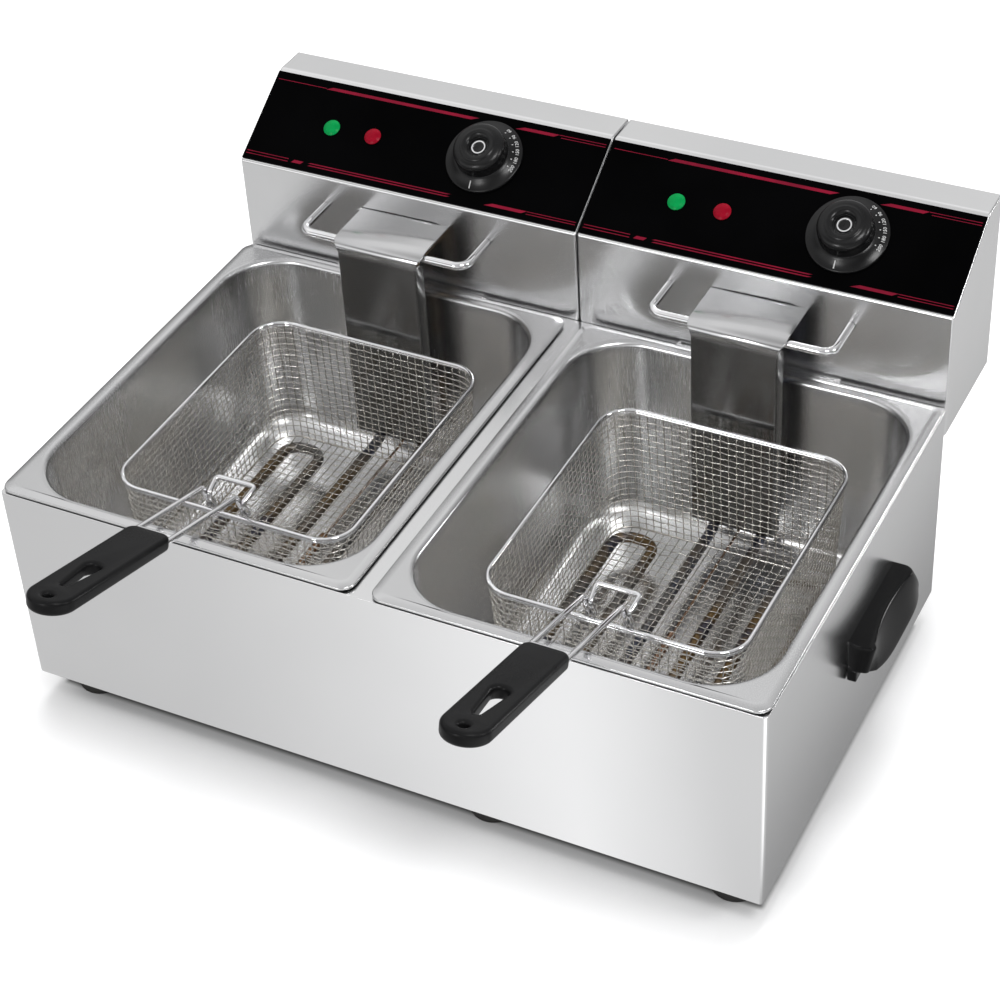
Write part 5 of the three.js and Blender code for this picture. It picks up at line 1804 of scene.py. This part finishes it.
@dataclass
class BackFittings(Half):
    """The gland, the reset button and the parts inside the head."""

    gland_nut: float = 12.0
    gland_bore: float = 4.0
    gland_thread: float = 8.0
    screw_inset: float = 9.0

    def axis_at(self, node: str) -> Matrix:
        """Axes in millimetres on a CAD node's middle line, with Z towards the back."""
        middle = centre_of(node)
        return Matrix.Translation((middle.x, 0.0, middle.z)) @ BACKWARD @ TO_METRES

    def gland(self) -> None:
        """The nylon cable gland: lock nut, hexagon and domed clamping nut."""
        node = self.named("cable_gland")
        start, end = (corner.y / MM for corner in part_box(node))
        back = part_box(self.named("head_back_cover"))[1].y / MM
        inner, outer = back - 1.5, back + 0.3
        bore, nut, thread = self.gland_bore, self.gland_nut, self.gland_thread
        dome = [
            (bore, start), (nut * 0.72, start), (nut * 0.72, inner - 0.2), (thread, inner - 0.2),
            (thread, outer + 0.1), (9.3, outer + 0.1), (9.3, outer + 6.2), (9.5, outer + 6.4),
            (9.5, end - 5), (8.9, end - 2.4), (7.6, end - 0.7), (6.2, end), (bore + 0.5, end),
            (bore, end - 0.6), (bore, start),
        ]
        shape = Shape()
        shape.turned(dome, 48, self.axis_at(node))
        core = thread + 0.1
        for first, second in ((start + 0.3, inner - 0.3), (outer + 0.2, outer + 5.8)):
            hexagon = [
                (core, first), (nut * 0.97, first), (nut, first + 0.5), (nut, second - 0.8),
                (nut * 0.95, second), (core, second), (core, first),
            ]
            shape.turned(hexagon, 6, self.axis_at(node))
        shape.finished(
            self.named("nylon_gland"), GLAND_NYLON, self.body, [node], crease=28.0,
        )

    def button(self) -> None:
        """The reset button, with a round end."""
        node = self.named("reset_button")
        low, high = (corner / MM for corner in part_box(node))
        radius = (high.x - low.x) / 2
        profile = [
            (0.0, low.y), (radius - 0.3, low.y), (radius, low.y + 0.3), (radius, high.y - 1.3),
            (radius - 0.25, high.y - 0.6), (radius - 1.0, high.y - 0.1), (0.0, high.y),
        ]
        shape = Shape()
        shape.turned(profile, 40, self.axis_at(node))
        shape.finished(
            self.named("push_button"), RED_BUTTON, self.named("reset"), [node],
        )

    def hidden(self) -> None:
        """Eases the edges of the ceramic parts inside the head."""
        edges = {"terminal_block": 0.5, "thermostat_body": 0.8, "limit_switch": 0.4}
        for word, edge in edges.items():
            node = self.named(word)
            eased_node(
                node, f"ceramic_{node}", CERAMIC, self.body,
                long_edges(edge, 9.0),
            )

    def screws(self) -> None:
        """Pan-head screws that hold the back cover."""
        low, high = (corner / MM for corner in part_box(self.named("head_back_cover")))
        inset = self.screw_inset
        profile = [(0.0, -1.0), (3.3, -1.0), (3.4, 0.4), (3.0, 1.3), (2.1, 1.9), (0.0, 2.1)]
        shape = Shape()
        for x in (low.x + inset, (low.x + high.x) / 2, high.x - inset):
            for z in (low.z + inset, high.z - inset):
                place = TO_METRES @ Matrix.Translation((x, high.y, z)) @ BACKWARD
                shape.turned(profile, 28, place)
        shape.finished(self.named("cover_screws"), PLAIN_STEEL, self.body)

    def build(self) -> None:
        """Builds the fittings."""
        self.gland()
        self.button()
        self.hidden()
        self.screws()


# ---- Basket ----


@dataclass
class Basket(Half):
    """A woven wire basket with a double rim, a wire handle, a catch and a plastic grip."""

    rides: ClassVar[str] = "basket"
    pitch: float = 6.0
    row_pitch: float = 4.8
    wire: float = 0.40
    crimp: float = 0.42
    taper: float = 5.0
    corner: float = 24.0
    rim_wire: float = 1.5
    lower_wire: float = 1.1
    rod: float = 2.1
    tilt: float = 16.0
    lean: float = 5.0
    catch_wire: float = 1.75
    corner_wire: float = 0.8
    wall_top: float = 2.0
    wall_inset: float = 2.0
    handle_gap: float = 4.8
    reach: float = 80.0
    rod_rise: float = 4.5
    rod_tail: float = 23.0
    bar_setback: float = 4.0
    sides: int = 6

    def __post_init__(self) -> None:
        """Measures the basket's rim in the frame."""
        low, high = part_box(self.named("basket_rim"))
        self.centre = (low + high) / 2
        self.half = (high - low) / 2 / MM
        self.place = Matrix.Translation(self.centre) @ TO_METRES
        self.depth = (self.centre.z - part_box(self.named("basket_mesh"))[0].z) / MM
        self.foot = self.handle_gap - self.half.y

    def at(self, points: Iterable[Vector], rise: float = 0.0) -> list[Vector]:
        """Points of the basket's own millimetres, raised, in metres of the frame."""
        return [self.place @ (p + Vector((0, 0, rise))) for p in points]

    def rim(self) -> None:
        """The two rim wires, one above the other."""
        shape = Shape()
        for radius, inset, z in (
            (self.rim_wire, self.rim_wire, 2.2 - self.rim_wire),
            (self.lower_wire, self.lower_wire + 0.25, self.lower_wire - 2.25),
        ):
            loop = rounded_loop(self.half.x - inset, self.half.y - inset, self.corner - inset, 14)
            shape.tube(self.at(loop, z), radius * MM, 12, closed=True)
        shape.finished(
            self.named("rim_wires"), CHROME, self.body, [self.named("basket_rim")],
        )

    def outline(self, inset: float, count: int) -> list[tuple[Vector, Vector, Vector]]:
        """Evenly spaced points round the basket.

        Args:
            inset: how far inside the rim's outer edge they lie.
            count: how many there are.

        Returns:
            Each point with its direction round the basket and its outward direction.
        """
        wide, deep = self.half.x - inset, self.half.y - inset
        radius = max(self.corner - inset, 2.0)
        straight_x, straight_y = 2 * (wide - radius), 2 * (deep - radius)
        bend = math.pi * radius / 2
        total = 2 * (straight_x + straight_y) + 4 * bend
        sides = [
            (Vector((wide, radius - deep, 0)), Vector((0, 1, 0)), straight_y),
            (Vector((wide - radius, deep, 0)), Vector((-1, 0, 0)), straight_x),
            (Vector((-wide, deep - radius, 0)), Vector((0, -1, 0)), straight_y),
            (Vector((radius - wide, -deep, 0)), Vector((1, 0, 0)), straight_x),
        ]
        made = []
        for i in range(count):
            s = total * (i + 0.5) / count
            for start, along, length in sides:
                out = Vector((along.y, -along.x, 0))
                if s <= length:
                    made.append((start + along * s, along, out))
                    break
                s -= length
                if s <= bend:
                    centre = start + along * length - out * radius
                    outward = out * math.cos(s / radius) + along * math.sin(s / radius)
                    onward = Vector((-outward.y, outward.x, 0))
                    made.append((centre + outward * radius, onward, outward))
                    break
                s -= bend
        return made

    def weave(self) -> None:
        """The woven walls and floor: crimped wires that pass over and under each other."""
        shape = Shape()
        count = 2 * round(self.perimeter() / self.pitch / 2)
        ceiling, floor = -self.wall_top, self.wire * 1.6 - self.depth
        rows = round((ceiling - floor) / self.row_pitch)
        top = self.outline(self.wall_inset, count)
        low = self.outline(self.wall_inset + self.taper, count)
        radius = self.wire * MM

        def wall(index: int, share: float) -> Vector:
            """A point of the wall's middle surface."""
            a, b = top[index % count][0], low[index % count][0]
            return a + (b - a) * share + Vector((0, 0, ceiling + (floor - ceiling) * share))

        for i in range(count):
            _, along, out = top[i]
            path = []
            for k in range(2 * rows + 1):
                path.append(wall(i, k / (2 * rows)) + out * self.wave(k, i))
            shape.tube(self.at(path), radius, self.sides, frames=lambda _, a=along, o=out: (a, o))
        up = Vector((0, 0, 1))
        for row in range(1, rows):
            path, outs = [], []
            for k in range(2 * count):
                i = k // 2
                point, out = wall(i, row / rows), top[i % count][2]
                if k % 2:
                    point = (point + wall(i + 1, row / rows)) / 2
                    out = (out + top[(i + 1) % count][2]).normalized()
                path.append(point - out * self.wave(k, row))
                outs.append(out)
            shape.tube(
                self.at(path), radius, self.sides, closed=True,
                frames=lambda i, o=outs: (o[i], up),
            )
        self.floor(shape, floor)
        shape.tube(
            self.at((p for p, _, _ in self.outline(self.wall_inset + self.taper, 132)), floor),
            self.corner_wire * MM, 8, closed=True,
        )
        shape.finished(
            self.named("woven_basket"), BASKET_WIRE, self.body,
            [self.named("basket_mesh")], crease=80.0,
        )

    def wave(self, step: int, line: int) -> float:
        """How far a crimped wire stands out at a half step, in millimetres."""
        return 0.0 if step % 2 else (self.crimp if (step // 2 + line) % 2 else -self.crimp)

    def perimeter(self) -> float:
        """The length round the basket's wall, in millimetres."""
        straight = 4 * (self.half.x + self.half.y - 2 * self.corner)
        return straight + 2 * math.pi * (self.corner - self.wall_inset)

    def floor(self, shape: Shape, height: float) -> None:
        """The woven floor.

        Args:
            shape: the mesh that it joins.
            height: its height below the rim's middle.
        """
        inset = self.wall_inset + self.taper
        wide, deep = self.half.x - inset, self.half.y - inset
        radius = self.corner - inset

        def reach(across: float, far: float, near: float) -> float:
            """Half the length of a wire that runs at a distance from the middle.

            Args:
                across: that distance.
                far: half the floor's length along the wires.
                near: half its width across them.

            Returns:
                The half length in millimetres.
            """
            over = abs(across) - (near - radius)
            if over <= 0:
                return far
            return far - radius + math.sqrt(max(radius * radius - over * over, 0.0))

        for axis in (0, 1):
            near, far = (deep, wide) if axis == 0 else (wide, deep)
            lines = 2 * int(near / self.pitch)
            cells = 2 * int(far / self.pitch)
            for line in range(-lines // 2 + 1, lines // 2):
                across = line * self.pitch
                half = reach(across, far, near)
                path = [(-half, 0.0)]
                for k in range(-cells, cells + 1):
                    place = k * self.pitch / 2
                    if abs(place) <= half:
                        path.append((place, self.wave(k, line + axis)))
                path.append((half, 0.0))
                points = [
                    Vector((across, place, wave) if axis else (place, across, wave))
                    for place, wave in path
                ]
                sideways = Vector((1, 0, 0) if axis else (0, 1, 0))
                shape.tube(
                    self.at(points, height), self.wire * MM, self.sides,
                    frames=lambda _, s=sideways: (s, Vector((0, 0, 1))),
                )

    def along_handle(self, x: float, along: float) -> Vector:
        """A point on a handle wire's middle line.

        Args:
            x: the wire's distance from the basket's middle.
            along: the distance forward of its bend.

        Returns:
            The point, in the basket's own millimetres.
        """
        tilt = math.radians(self.tilt)
        y = self.foot + self.rod - self.lean - along * math.cos(tilt)
        return Vector((x, y, self.peak() + along * math.sin(tilt)))

    def peak(self) -> float:
        """The height of the handle wires' bends above the rim's middle, from their far end.

        Returns:
            The height in millimetres.
        """
        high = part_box(self.named("basket_handle_wires"))[1].z
        tilt = math.radians(self.tilt)
        along = self.reach + self.rod_tail + 0.7
        return (high - self.centre.z) / MM - self.rod * math.cos(tilt) - along * math.sin(tilt)

    def wires(self) -> None:
        """The two handle rods with their cross bar."""
        low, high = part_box(self.named("basket_handle_wires"))
        span = (high.x - low.x) / 2 / MM - self.rod
        foot, end = self.foot + self.rod, self.reach + self.rod_tail
        shape = Shape()
        for x in (-span, span):
            line = [
                Vector((x, foot, 0)), Vector((x, foot, self.rod_rise)), self.along_handle(x, 0),
                self.along_handle(x, end),
            ]
            shape.tube(self.at(bent_path(line, 5.0, 10)), self.rod * MM, 20)
        bar = self.reach - self.bar_setback
        line = [self.along_handle(-span, bar), self.along_handle(span, bar)]
        shape.tube(self.at(line), self.rod * 0.95 * MM, 20)
        shape.finished(
            self.named("handle_rods"), CHROME, self.body,
            [self.named("basket_handle_wires")],
        )
        self.catch(span)

    def catch(self, span: float) -> None:
        """The wire loop that hooks over the hanger rod.

        Args:
            span: half the distance between the handle rods.
        """
        radius = self.catch_wire
        foot = self.foot + radius
        top = foot - 5.0
        half = [
            Vector((-span, foot, 0)), Vector((-span, foot, self.rod_rise)),
            Vector((-span, top, 14.0)), Vector((-15.0, top + 15.0, 18.0)),
        ]
        line = half + [Vector((-p.x, p.y, p.z)) for p in reversed(half)]
        line = [p + Vector((self.rod + 0.3 + radius, 0, 0)) for p in line]
        shape = Shape()
        shape.tube(self.at(bent_path(line, 2.5)), radius * MM, 16)
        shape.finished(
            self.named("catch_loop"), CHROME, self.body,
            [self.named("basket_catch")],
        )

    def build(self) -> None:
        """Builds the basket's pieces."""
        self.rim()
        self.weave()
        self.wires()
        end = Matrix.Translation(self.along_handle(0.0, self.reach))
        tilt = Matrix.Rotation(-math.radians(self.tilt), 4, "X")
        Grip(self.side, self.place @ end @ tilt).build()


@dataclass
class Grip(Half):
    """The flat plastic grip, with a tapered slot and a hanging hole."""

    rides: ClassVar[str] = "basket"
    place: Matrix
    length: float = 122.0
    width: float = 32.0
    thickness: float = 10.0
    edge: float = 3.0
    corner: float = 7.0
    slot_from_end: float = 26.0
    slot_length: float = 36.0
    slot_radius: float = 5.5
    slot_tip: float = 2.0
    hole_from_end: float = 11.0
    hole_radius: float = 3.0

    def outline(self) -> list[Vector]:
        """The grip's outline, from the wires' end forward to its round end.

        Returns:
            Its points, in millimetres.
        """
        half, corner = self.width / 2, self.corner
        points = []
        for sign, corner_turn in ((1, arc(8)), (-1, [(-sin, cos) for cos, sin in arc(8)])):
            for cos, sin in corner_turn:
                points.append((sign * (half - corner) + corner * cos, corner * (sin - 1)))
        points += [
            (-half * cos, half - self.length - half * sin) for cos, sin in arc(32, 180.0)
        ]
        return [Vector((x, y, 0)) for x, y in points]

    def slot(self) -> list[Vector]:
        """The tapered slot's outline.

        Returns:
            Its points, in millimetres.
        """
        end = self.slot_from_end - self.length
        tip, wide = end + self.slot_tip, end + self.slot_length - self.slot_radius
        points = []
        for centre, radius in ((wide, self.slot_radius), (tip, -self.slot_tip)):
            points += [(radius * cos, centre + radius * sin) for cos, sin in arc(12, 180.0)]
        return [Vector((x, y, 0)) for x, y in points]

    def hole(self) -> list[Vector]:
        """The hanging hole's outline."""
        centre, radius = self.hole_from_end - self.length, self.hole_radius
        return [Vector((radius * x, centre + radius * y, 0)) for x, y in circle(24)]

    def build(self) -> None:
        """Builds the grip in place of its CAD node."""
        curve = bpy.data.curves.new("grip_outline", "CURVE")
        curve.dimensions = "2D"
        curve.fill_mode = "BOTH"
        curve.extrude = self.thickness / 2 - self.edge
        curve.bevel_depth = self.edge
        curve.bevel_resolution = 5
        curve.offset = -self.edge
        for loop in (self.outline(), self.slot(), self.hole()):
            spline = curve.splines.new("POLY")
            spline.points.add(len(loop) - 1)
            for point, place in zip(spline.points, loop):
                point.co = (*place, 1.0)
            spline.use_cyclic_u = True
        maker = in_scene("grip_outline", curve)
        shape = Shape()
        shape.mesh.from_mesh(evaluated(maker))
        bpy.data.objects.remove(maker)
        bmesh.ops.transform(shape.mesh, matrix=self.place, verts=shape.mesh.verts)
        shape.finished(
            self.named("plastic_grip"), GRIP_PLASTIC, self.body,
            [self.named("basket_grip")], crease=35.0,
        )


# ---- Studio ----


@dataclass
class Studio:
    """Floor with painted shadow and painted light for the steel's reflections, soft light and
    camera.

    The ends are where a soft change of brightness starts and stops, in metres on the floor and
    along the sky's directions in the room.
    """

    camera_place: Triple = (0.63862, -1.12615, 1.18548)
    azimuth: float = 28.72
    elevation: float = 38.74
    roll: float = -3.71
    lens: float = 88.6356
    sensor: float = 36.0
    clip: Pair = (0.05, 60.0)
    floor_size: float = 14.0
    floor_color: Color = (0.78, 0.78, 0.785)
    floor_roughness: float = 0.9
    # Painted shadow under the housing: a dark floor colour and a dimmer lift, blurred at its edge.
    painted_shadow_color: Color = (0.2, 0.2, 0.2)
    housing_half: Pair = (0.2725, 0.163)
    housing_middle: float = 0.0104
    painted_shadow_blur: float = 0.005
    painted_shadow_inset: Pair = (0.004, 0.014)
    painted_shadow_seen: float = 0.8
    painted_shadow_mirrored: float = 0.9
    seen_lift: float = 0.5
    # Painted contact shadow: ambient occlusion over this reach dims the floor's lift.
    contact_shade_reach: float = 0.1
    contact_shade_depth: float = 1.6
    mirror_share: float = 0.9
    # Painted light and shade on the floor, seen only in the steel: a strip in front, a glow at the
    # front corner, shade near the right wall.
    strip_way: Pair = (0.877, -0.481)
    strip_ends: Pair = (-0.2, 0.35)
    front_strip: tuple[Pair, ...] = (
        (0.085, 0.66), (0.27, 0.74), (0.39, 0.82), (0.505, 0.93), (0.62, 1.06), (0.74, 1.2),
        (0.86, 0.96), (0.915, 0.8),
    )
    beside_ends: Pair = (0.268, 0.276)
    corner_ends: Pair = (-0.2, -0.15)
    corner_glow: float = 1.45
    side_strip: float = 0.5
    side_ends: Pair = (0.272, 0.375)
    painted_wall_shade_levels: Pair = (0.58, 1.24)
    far_ends: Pair = (0.7, 1.8)
    far_floor: float = 0.25
    room_light: float = 0.72
    right_ends: Pair = (-0.25, 0.6)
    room_right: float = 0.55
    behind_ends: Pair = (0.75, 0.9)
    room_behind: float = 0.8
    ahead_ends: Pair = (-0.35, -0.65)
    room: tuple[Pair, ...] = (
        (0.0, 0.2), (0.5, 0.12), (0.57, 0.2), (0.67, 0.62), (0.74, 0.78), (0.80, 0.72),
        (0.845, 1.0), (0.92, 1.0), (1.0, 0.6),
    )
    room_ahead: tuple[Pair, ...] = (
        (0.0, 0.2), (0.47, 0.9), (0.58, 1.25), (0.67, 1.2), (0.74, 0.4), (0.83, 0.36),
        (0.9, 0.8), (1.0, 0.6),
    )
    sun_power: float = 1.45
    sun_spread: float = 24.0
    sun_from: Triple = (-0.06, 0.3, 1.0)
    lamps: tuple[tuple[str, Triple, Triple, float, float], ...] = (
        ("edge", (1.6, 1.5, 0.3), (0.28, 0.0, 0.14), 0.4, 8.0),
        ("rim", (1.95, 0.2, 1.25), (0.0, 0.2, 0.25), 0.4, 8.0),
        ("fill", (1.15, -0.75, 2.1), (0.0, 0.1, 0.2), 0.6, 15.0),
        ("front", (-0.45, -2.1, 1.15), (0.0, 0.0, 0.2), 0.45, 9.0),
    )

    def camera(self) -> None:
        """The camera, turned about its own axis by the roll."""
        az, el, roll = (math.radians(v) for v in (self.azimuth, self.elevation, self.roll))
        back = Vector((math.sin(az) * math.cos(el), -math.cos(az) * math.cos(el), math.sin(el)))
        level = Vector((math.cos(az), math.sin(az), 0.0))
        upright = back.cross(level)
        right = level * math.cos(roll) + upright * math.sin(roll)
        up = upright * math.cos(roll) - level * math.sin(roll)
        data = bpy.data.cameras.new("camera")
        data.lens = self.lens
        data.sensor_width = self.sensor
        data.clip_start, data.clip_end = self.clip
        camera = in_scene("camera", data)
        matrix = Matrix((right, up, back)).transposed().to_4x4()
        matrix.translation = Vector(self.camera_place)
        camera.matrix_world = matrix
        bpy.context.scene.camera = camera

    def painted_mirror_floor(self, graph: Graph) -> Socket:
        """How bright the floor is in the fryer's steel, where light and shade are painted on it.

        This is painted light and shade, seen only in reflections. In front it grows slowly to the
        right. Beside the fryer it is brighter at the front corner, a painted glow, and darker near
        the wall, a painted contact shadow. It is dim far off, with a painted shadow below the
        housing.

        Args:
            graph: the floor's nodes.

        Returns:
            The strength.
        """
        place = graph.parts("NewGeometry", "Position")
        right, back = self.strip_way
        across = graph.math("MULTIPLY", place["X"], right)
        across = graph.math("ADD", across, graph.math("MULTIPLY", place["Y"], back))
        front = graph.ramp(graph.span(across, *self.strip_ends, 0.0, 1.0), self.front_strip)
        # A painted glow at the front corner and painted contact shade near the right wall.
        corner = graph.eased(place["Y"], *self.corner_ends, self.corner_glow, self.side_strip)
        painted_wall_shade = graph.eased(place["X"], *self.side_ends, *self.painted_wall_shade_levels)
        beside = graph.eased(place["X"], *self.beside_ends, 0.0, 1.0)
        strip = graph.blend("FLOAT", beside, front, graph.math("MULTIPLY", corner, painted_wall_shade))
        away = graph.node("VectorMath", operation="LENGTH")
        graph.link(graph.node("NewGeometry").outputs["Position"], away.inputs[0])
        far = graph.eased(away.outputs["Value"], *self.far_ends, 1.0, self.far_floor)
        # Painted shadow below the housing, as the steel sees the floor.
        outside_painted_shadow = self.left_by_painted_shadow(graph, self.under(graph, 0.0, 0.0), self.painted_shadow_mirrored)
        return graph.math("MULTIPLY", graph.math("MULTIPLY", strip, far), outside_painted_shadow)

    def under(self, graph: Graph, inset_x: float, inset_y: float) -> Socket:
        """How far a place on the floor lies under the housing, where its shadow is painted.

        Args:
            graph: the floor's nodes.
            inset_x: how far inside the housing's sides the painted shadow starts.
            inset_y: how far inside its front and back it starts.

        Returns:
            1 well under the housing, 0 outside it.
        """
        place = graph.parts("NewGeometry", "Position")
        across = graph.math("ABSOLUTE", place["X"])
        along = graph.math("ABSOLUTE", graph.math("ADD", place["Y"], -self.housing_middle))
        edge_x, edge_y = self.housing_half[0] - inset_x, self.housing_half[1] - inset_y
        blur = self.painted_shadow_blur
        inside_x = graph.eased(across, edge_x - blur, edge_x, 1.0, 0.0)
        return graph.math("MULTIPLY", inside_x, graph.eased(along, edge_y - blur, edge_y, 1.0, 0.0))

    def left_by_painted_shadow(self, graph: Graph, painted_shadow_mask: Socket, loss: float) -> Socket:
        """The share of brightness that the painted shadow leaves where the housing covers the
        floor.
        """
        return graph.math("ADD", graph.math("MULTIPLY", painted_shadow_mask, -loss), 1.0)

    def floor(self) -> None:
        """A pale floor that keeps the fryer's shadow, with a painted shadow under the housing for a
        soft dark line where they meet, and a painted contact shadow near the fryer.
        """
        bpy.ops.mesh.primitive_plane_add(size=self.floor_size)
        floor = bpy.context.object
        floor.name = "floor"
        material = bpy.data.materials.new("floor")
        material.use_nodes = True
        graph = Graph(material.node_tree)
        shader = graph.tree.nodes["Principled BSDF"]
        # Painted shadow under the housing: a dark tint and a dimmer lift there.
        painted_shadow_mask = self.under(graph, *self.painted_shadow_inset)
        tint = graph.blend("RGBA", painted_shadow_mask, self.floor_color, self.painted_shadow_color)
        graph.link(tint, shader.inputs["Base Color"])
        shader.inputs["Roughness"].default_value = self.floor_roughness
        shader.inputs["Specular IOR Level"].default_value = 0.0
        path = graph.node("LightPath")
        # Painted contact shadow: ambient occlusion dims the floor's lift near the fryer.
        contact_shade_ao = graph.node("AmbientOcclusion", samples=8)
        contact_shade_ao.inputs["Distance"].default_value = self.contact_shade_reach
        painted_contact_shade = graph.math("POWER", contact_shade_ao.outputs["AO"], self.contact_shade_depth)
        seen = graph.math("MULTIPLY", path.outputs["Is Camera Ray"], self.seen_lift)
        seen = graph.math("MULTIPLY", seen, self.left_by_painted_shadow(graph, painted_shadow_mask, self.painted_shadow_seen))
        light = graph.node("Emission")
        graph.link(graph.math("MULTIPLY", seen, painted_contact_shade), light.inputs["Strength"])
        both = graph.node("AddShader")
        graph.link(shader.outputs[0], both.inputs[0])
        graph.link(light.outputs[0], both.inputs[1])
        mirror = graph.node("Emission")
        graph.link(self.painted_mirror_floor(graph), mirror.inputs["Strength"])
        chosen = graph.node("MixShader")
        share = graph.math("MULTIPLY", graph.mirrored(path), self.mirror_share)
        for source, port in zip((share, both.outputs[0], mirror.outputs[0]), chosen.inputs):
            graph.link(source, port)
        graph.link(chosen.outputs[0], graph.tree.nodes["Material Output"].inputs["Surface"])
        floor.data.materials.append(material)

    def world(self) -> None:
        """A soft room: bright high up, a little darker to the right, with a pale wall behind.

        In front it is bright low down and dim above. The backdrop itself is white.
        """
        world = bpy.data.worlds.new("room")
        bpy.context.scene.world = world
        world.use_nodes = True
        graph = Graph(world.node_tree)
        way = graph.parts("TexCoord", "Generated")
        height = graph.span(way["Z"], -1.0, 1.0, 0.0, 1.0)
        side = graph.eased(way["X"], *self.right_ends, 1.0, self.room_right)
        behind = graph.eased(way["Y"], *self.behind_ends, 0.0, self.room_behind)
        gray = graph.math("MAXIMUM", graph.ramp(height, self.room), behind)
        ahead = graph.eased(way["Y"], *self.ahead_ends, 0.0, 1.0)
        room = graph.blend("FLOAT", ahead, gray, graph.ramp(height, self.room_ahead))
        room = graph.math("MULTIPLY", room, side)
        path = graph.node("LightPath")
        level = graph.span(graph.mirrored(path), 0.0, 1.0, self.room_light, 1.0)
        room = graph.math("MULTIPLY", room, level)
        sky = graph.tree.nodes["Background"]
        seen = graph.math("MAXIMUM", room, path.outputs["Is Camera Ray"])
        graph.link(seen, sky.inputs["Strength"])
        sky.inputs["Color"].default_value = (1.0, 1.0, 1.0, 1.0)

    def lamp(self, name: str, place: Point, aim: Point, size: float, power: float) -> None:
        """One soft lamp.

        Args:
            name: its name.
            place: where it hangs.
            aim: where it points.
            size: the length of its sides.
            power: its power in watts.
        """
        data = bpy.data.lights.new(name, "AREA")
        data.size = size
        data.energy = power
        lamp = in_scene(name, data)
        lamp.location = Vector(place)
        lamp.rotation_euler = (Vector(aim) - Vector(place)).to_track_quat("-Z", "Y").to_euler()
        lamp.visible_camera = False

    def overhead(self) -> None:
        """The wide overhead light, high behind the fryer, which the steel doesn't show."""
        data = bpy.data.lights.new("overhead", "SUN")
        data.energy = self.sun_power
        data.angle = math.radians(self.sun_spread)
        light = in_scene("overhead", data)
        light.rotation_euler = Vector(self.sun_from).to_track_quat("Z", "Y").to_euler()
        light.visible_glossy = False

    def build(self) -> None:
        """Sets up the studio."""
        bpy.context.scene.view_settings.view_transform = "Standard"
        self.camera()
        self.floor()
        self.world()
        self.overhead()
        for settings in self.lamps:
            self.lamp(*settings)
        LOG.info("studio ready")


def main() -> None:
    """Builds the studio and the fryer, piece by piece."""
    logging.basicConfig(level=logging.INFO, format="%(message)s")
    Studio().build()
    Housing().build()
    for side in Side:
        OilTank(side).build()
        ControlHead(side).build()
        Basket(side).build()


if __name__ == "__main__":
    main()
